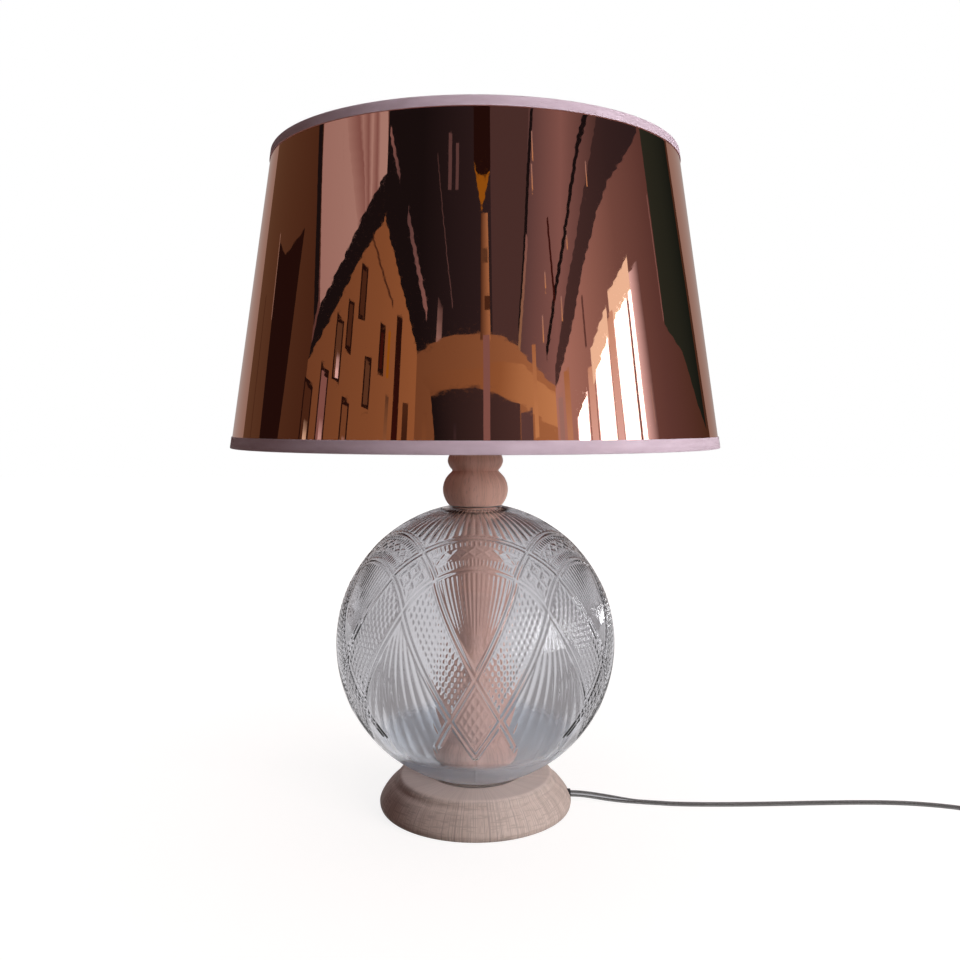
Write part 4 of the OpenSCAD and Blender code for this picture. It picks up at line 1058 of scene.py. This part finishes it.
SIDE_WALLS = [
    *band([(-185, FLOOR_LEVEL), (185, FLOOR_LEVEL)], [(-185, 88), (185, 88)], CLAY),
    *band([(-195, FLOOR_LEVEL), (-124, FLOOR_LEVEL)], [(-195, ROOF), (-155, ROOF)], PLASTER, BEIGE),
    *band([(145, FLOOR_LEVEL), (195, FLOOR_LEVEL)], [(117, ROOF), (195, ROOF)], BEIGE, PLASTER),
    *post(176, FLOOR_LEVEL, ROOF, 12, UMBER, JET),
    *post(-172, FLOOR_LEVEL, ROOF, 5, LINEN, PEACH),
    *band([(-124, FLOOR_LEVEL), (-84, FLOOR_LEVEL)], [(-155, ROOF), (-84, ROOF)], WALNUT, UMBER),
    *band([(-112, 0), (-107, 0), (-101, 0)], [(-119.5, 17.45), (-112.5, 17.6), (-98, 21.1)], JET),
    *strip([(-120.3, 17.8), (-118, 13)], 0.5, BEIGE),
    *strip([(-128, 13), (-124, 5)], 0.8, UMBER)]
PICTURE_WALL = [
    *band(at_level(PICTURE_TOP, FLOOR_LEVEL), PICTURE_TOP, AMBER, HONEY),
    *band(CURTAIN_LOW, CURTAIN_HIGH, BLUSH, LINEN),
    *fold((-62, 25.2), (-57.4, 26.8), (-56.6, 27), (-104, 40), (-90, 40), (-80, 40)),
    *fold((-58.6, 26.4), (-57, 26.8), (-55.6, 27.2), (-76, 40), (-69, 40), (-65, 40)),
    *fold((-55.4, 27.3), (-53, 28), (-51.5, 28.4), (-63, 40), (-61, 40), (-58.5, 40)),
    *band(PICTURE_TOP[:4], CURTAIN_LOW, SOOT),
    *strip([(-96, 28.6), (-90, 24.4), (-83, 18)], 2.2, SOOT),
    *strip([(-53, 25.5), (-40, 22.5)], 0.3, UMBER),
    *picture(-83, 9.4, 14, 5.6, UMBER, PEACH),
    *picture(-74, 10, 15.8, 5, COPPER, BLOOM),
    *picture(-67.5, 15.6, 19.5, 4.4, WALNUT, BLOOM),
    *picture(-62, 18, 21, 3.4, UMBER),
    *picture(-56, 20.4, 23.6, 3.8, UMBER),
    *picture(-51, 15.4, 18.6, 3.6, WALNUT),
    *picture(-61, 11, 15.2, 4.2, AMBER, BLOOM),
    *picture(-44.5, 18, 21, 2.8, CRIMSON),
    *post(-40.5, 11, 17, 1.6, TAN, WALNUT),
    *post(-41, 18, 21, 1.2, OIL),
    *post(-36.2, 11, 22, 2.8, CRIMSON, JET),
    *post(-31.5, 11, 17, 2.6, JET, UMBER)]
CEILING = [
    *band(PICTURE_TOP[3:], [(-57, ROOF), (-48, ROOF), (-40, ROOF), (-30, ROOF)], SOOT),
    *band([(-27, 20.5), (-10, 22), (8, 22)], [(-30, ROOF), (-10, ROOF), (8, ROOF)], SOOT, DUSK),
    *band([(8, 22), (20.5, 20.8)], [(8, ROOF), (48, ROOF)], MAUVE),
    *band([(20.5, 20.8), (37, 17.6)], [(48, ROOF), (70, ROOF)], PLUM, ROSE),
    *band(CORNICE, [(70, ROOF), (76, ROOF), (82, ROOF), (88, ROOF), (94, ROOF), (101, ROOF)], ROSE, SOOT),
    *band(WALL_TOP, CORNICE, MAUVE, DUSK),
    *strip([(20.8, 21.8), (28, 30.5), (33, 35.5)], 1.2, SOOT),
    *strip([(20.2, 20.6), (26.2, 27.2)], 0.9, GOLD, ROSE),
    *strip([(33.5, 20), (40, 23.6), (50, 28), (57, 30.3), (67, 31.8)], 0.8, SOOT),
    *strip([(37.3, 27.8), (38.8, 22.6)], 0.9, CRIMSON),
    *strip([(-47.5, 32), (-40, 29.7)], 0.6, ROSE, PLUM),
    *strip([(-35, 28), (-23, 22.8)], 0.8, PLUM, ROSE),
    *strip([(-20, 32), (-11, 23.5)], 0.3, MAUVE, PLUM),
    *strip([(-17.4, 20.6), (-16.8, 23.6)], 2.4, BLUSH, MAUVE),
    *post(-13.4, 30.4, 33.4, 1.8, PLUM),
    *post(-9.6, 30.4, 33, 1.6, PLUM),
    *(chink for azimuth, low, high in CHINKS for chink in post(azimuth, low, high, 0.6, APRICOT, BLUSH))]
END_WALL = [
    *band(at_level(END_TOP, FLOOR_LEVEL), END_TOP, AMBER, TAN),
    *band(ARCH_LOW[:4], ARCH_TOP[:4], AMBER, HONEY),
    *band(ARCH_LOW[3:], ARCH_TOP[3:], HONEY, APRICOT),
    *band([(-14, 10), (-10, 10), (0, 10), (10, 10), (20, 10)], ARCH_LOW[:5], SOOT, MAUVE),
    *post(-22.5, 10, 17, 2, HONEY, AMBER),
    *post(-9, 12, 16.5, 1.2, PLUM, DUSK),
    *post(23, 10, 16.8, 5.5, PLUM),
    *band([(2.2, 21.5), (7, 21.5)], [(3, 29), (6.4, 29)], UMBER, TAN),
    *post(5, 10, 22, 3, ROSE, COPPER),
    *post(5.6, 23.4, 24.4, 2.6, UMBER),
    *post(4.6, 26.2, 26.9, 3, WALNUT),
    *band([(3, 29.3), (3.8, 29.3)], [(-0.8, 32), (7.8, 31.4)], OIL),
    *band([(-0.8, 32), (1.4, 31.2), (5.4, 31), (8, 31.6)], [(-1.4, 45), (2, 45), (5, 45), (8, 45)], JET),
    *post(27.5, 15, 20.8, 1.8, APRICOT, TAN)]
WINDOW_WALL = [
    *band(at_level(WALL_TOP, FLOOR_LEVEL), WALL_TOP, RUSSET, CLAY),
    *strip([(39, 10), (39.2, 17)], 2.2, BLUSH),
    *post(42.7, 10, 18.4, 2.6, SALMON, TAN),
    *post(54.7, 10, 17.6, 3.2, BLOOM, SALMON),
    *strip([(53.2, 19), (52.8, 22)], 0.9, CLAY),
    *strip([(55.4, 17.6), (66, 19.2)], 2.2, PEACH),
    *strip([(67.5, 19.8), (82, 20.5)], 2.2, PEACH),
    *strip([(68.3, 10), (67.6, 19.6)], 3.6, BLOOM, SALMON),
    *band([(83.5, 9), (91, 9)], [(82, 20.5), (89, 20.5)], BLOOM, CLAY),
    *strip([(89, 10.6), (88.4, 12.8)], 0.8, BLUSH),
    *band([(100, FLOOR_LEVEL), (145, FLOOR_LEVEL)], [(100, ROOF), (117, ROOF)], CLAY, UMBER),
    *band([(104.5, 14.6), (118, 11), (127, 6.5), (134, 4)], [(101, 40), (110, 40), (118, 40), (124, 40)],
          MOSS, PINE),
    *strip([(104, 15), (102.3, 22.5)], 0.6, ROSE),
    *strip([(137, 3), (124.4, 40)], 1.2, UMBER)]
WINDOW = [
    *pane((44.6, SILL), (52.4, SILL), (46.5, 15.2), (52.4, 16.2)),
    *pane((57.3, SILL), (67.1, SILL), (56.8, 17.1), (65.6, 18.4)),
    *pane((71.9, SILL), (80.2, SILL), (69.4, 19), (79, 19.5)),
    *pane((81.4, SILL), (85.4, SILL), (79.8, 19.5), (82.6, 19.6)),
    *pane((125, SILL), (135, SILL), (125, 3), (135, 3))]
ROOM_DISTANCE = 60.0
WINDOW_DISTANCE = 45.0
ROOM_STEP = 0.1
PATCH_STEP = 4.0

shade_middle = (low_edge_z + high_edge_z) / 2


def room_mesh(name, patches, distance):
    """Curved patches, each a little nearer than the one before, with their tones on the vertices."""
    points, faces, tones = [], [], []
    for order, (left_low, right_low, right_high, left_high, left_tone, right_tone) in enumerate(patches):
        corners = [np.array(corner, float) for corner in (left_low, right_low, right_high, left_high)]
        span = np.max(corners, axis=0) - np.min(corners, axis=0)
        columns, rows = np.ceil(span / PATCH_STEP).astype(int) + 1
        right, up = np.meshgrid(np.linspace(0, 1, columns), np.linspace(0, 1, rows))
        weights = [(1 - right) * (1 - up), right * (1 - up), right * up, (1 - right) * up]
        direction = sum(weight[..., None] * corner for weight, corner in zip(weights, corners))
        first = len(points)
        for azimuth, elevation in direction.reshape(-1, 2):
            points.append(seen_from(azimuth, elevation, distance - ROOM_STEP * order, shade_middle))
        for share in right.reshape(-1):
            tones.append([*(a + share * (b - a) for a, b in zip(left_tone, right_tone)), 1.0])
        for row in range(rows - 1):
            for column in range(columns - 1):
                corner = first + row * columns + column
                faces.append([corner, corner + 1, corner + columns + 1, corner + columns])
    mesh = bpy.data.meshes.new(name)
    mesh.from_pydata(points, [], faces)
    layer = mesh.color_attributes.new("tone", "FLOAT_COLOR", "POINT")
    layer.data.foreach_set("color", np.array(tones).reshape(-1))
    return mesh


def room_material():
    """Each patch glows in its own tones."""
    made, tree = material_tree("room_tones")
    tone = add(tree, "ShaderNodeAttribute", attribute_name="tone").outputs["Color"]
    finish_tree(tree, add(tree, "ShaderNodeEmission", {"Color": tone, "Strength": 1.0}).outputs[0])
    return made


room_tones = room_material()
patches = SIDE_WALLS + PICTURE_WALL + CEILING + END_WALL + WINDOW_WALL
room = place("room", room_mesh("room", patches, ROOM_DISTANCE), room_tones)
window = place("window", room_mesh("window", WINDOW, WINDOW_DISTANCE), room_tones)
for backdrop in (room, window):
    backdrop.visible_camera = False
    backdrop.visible_diffuse = False
    backdrop.visible_shadow = False
    backdrop.visible_transmission = False
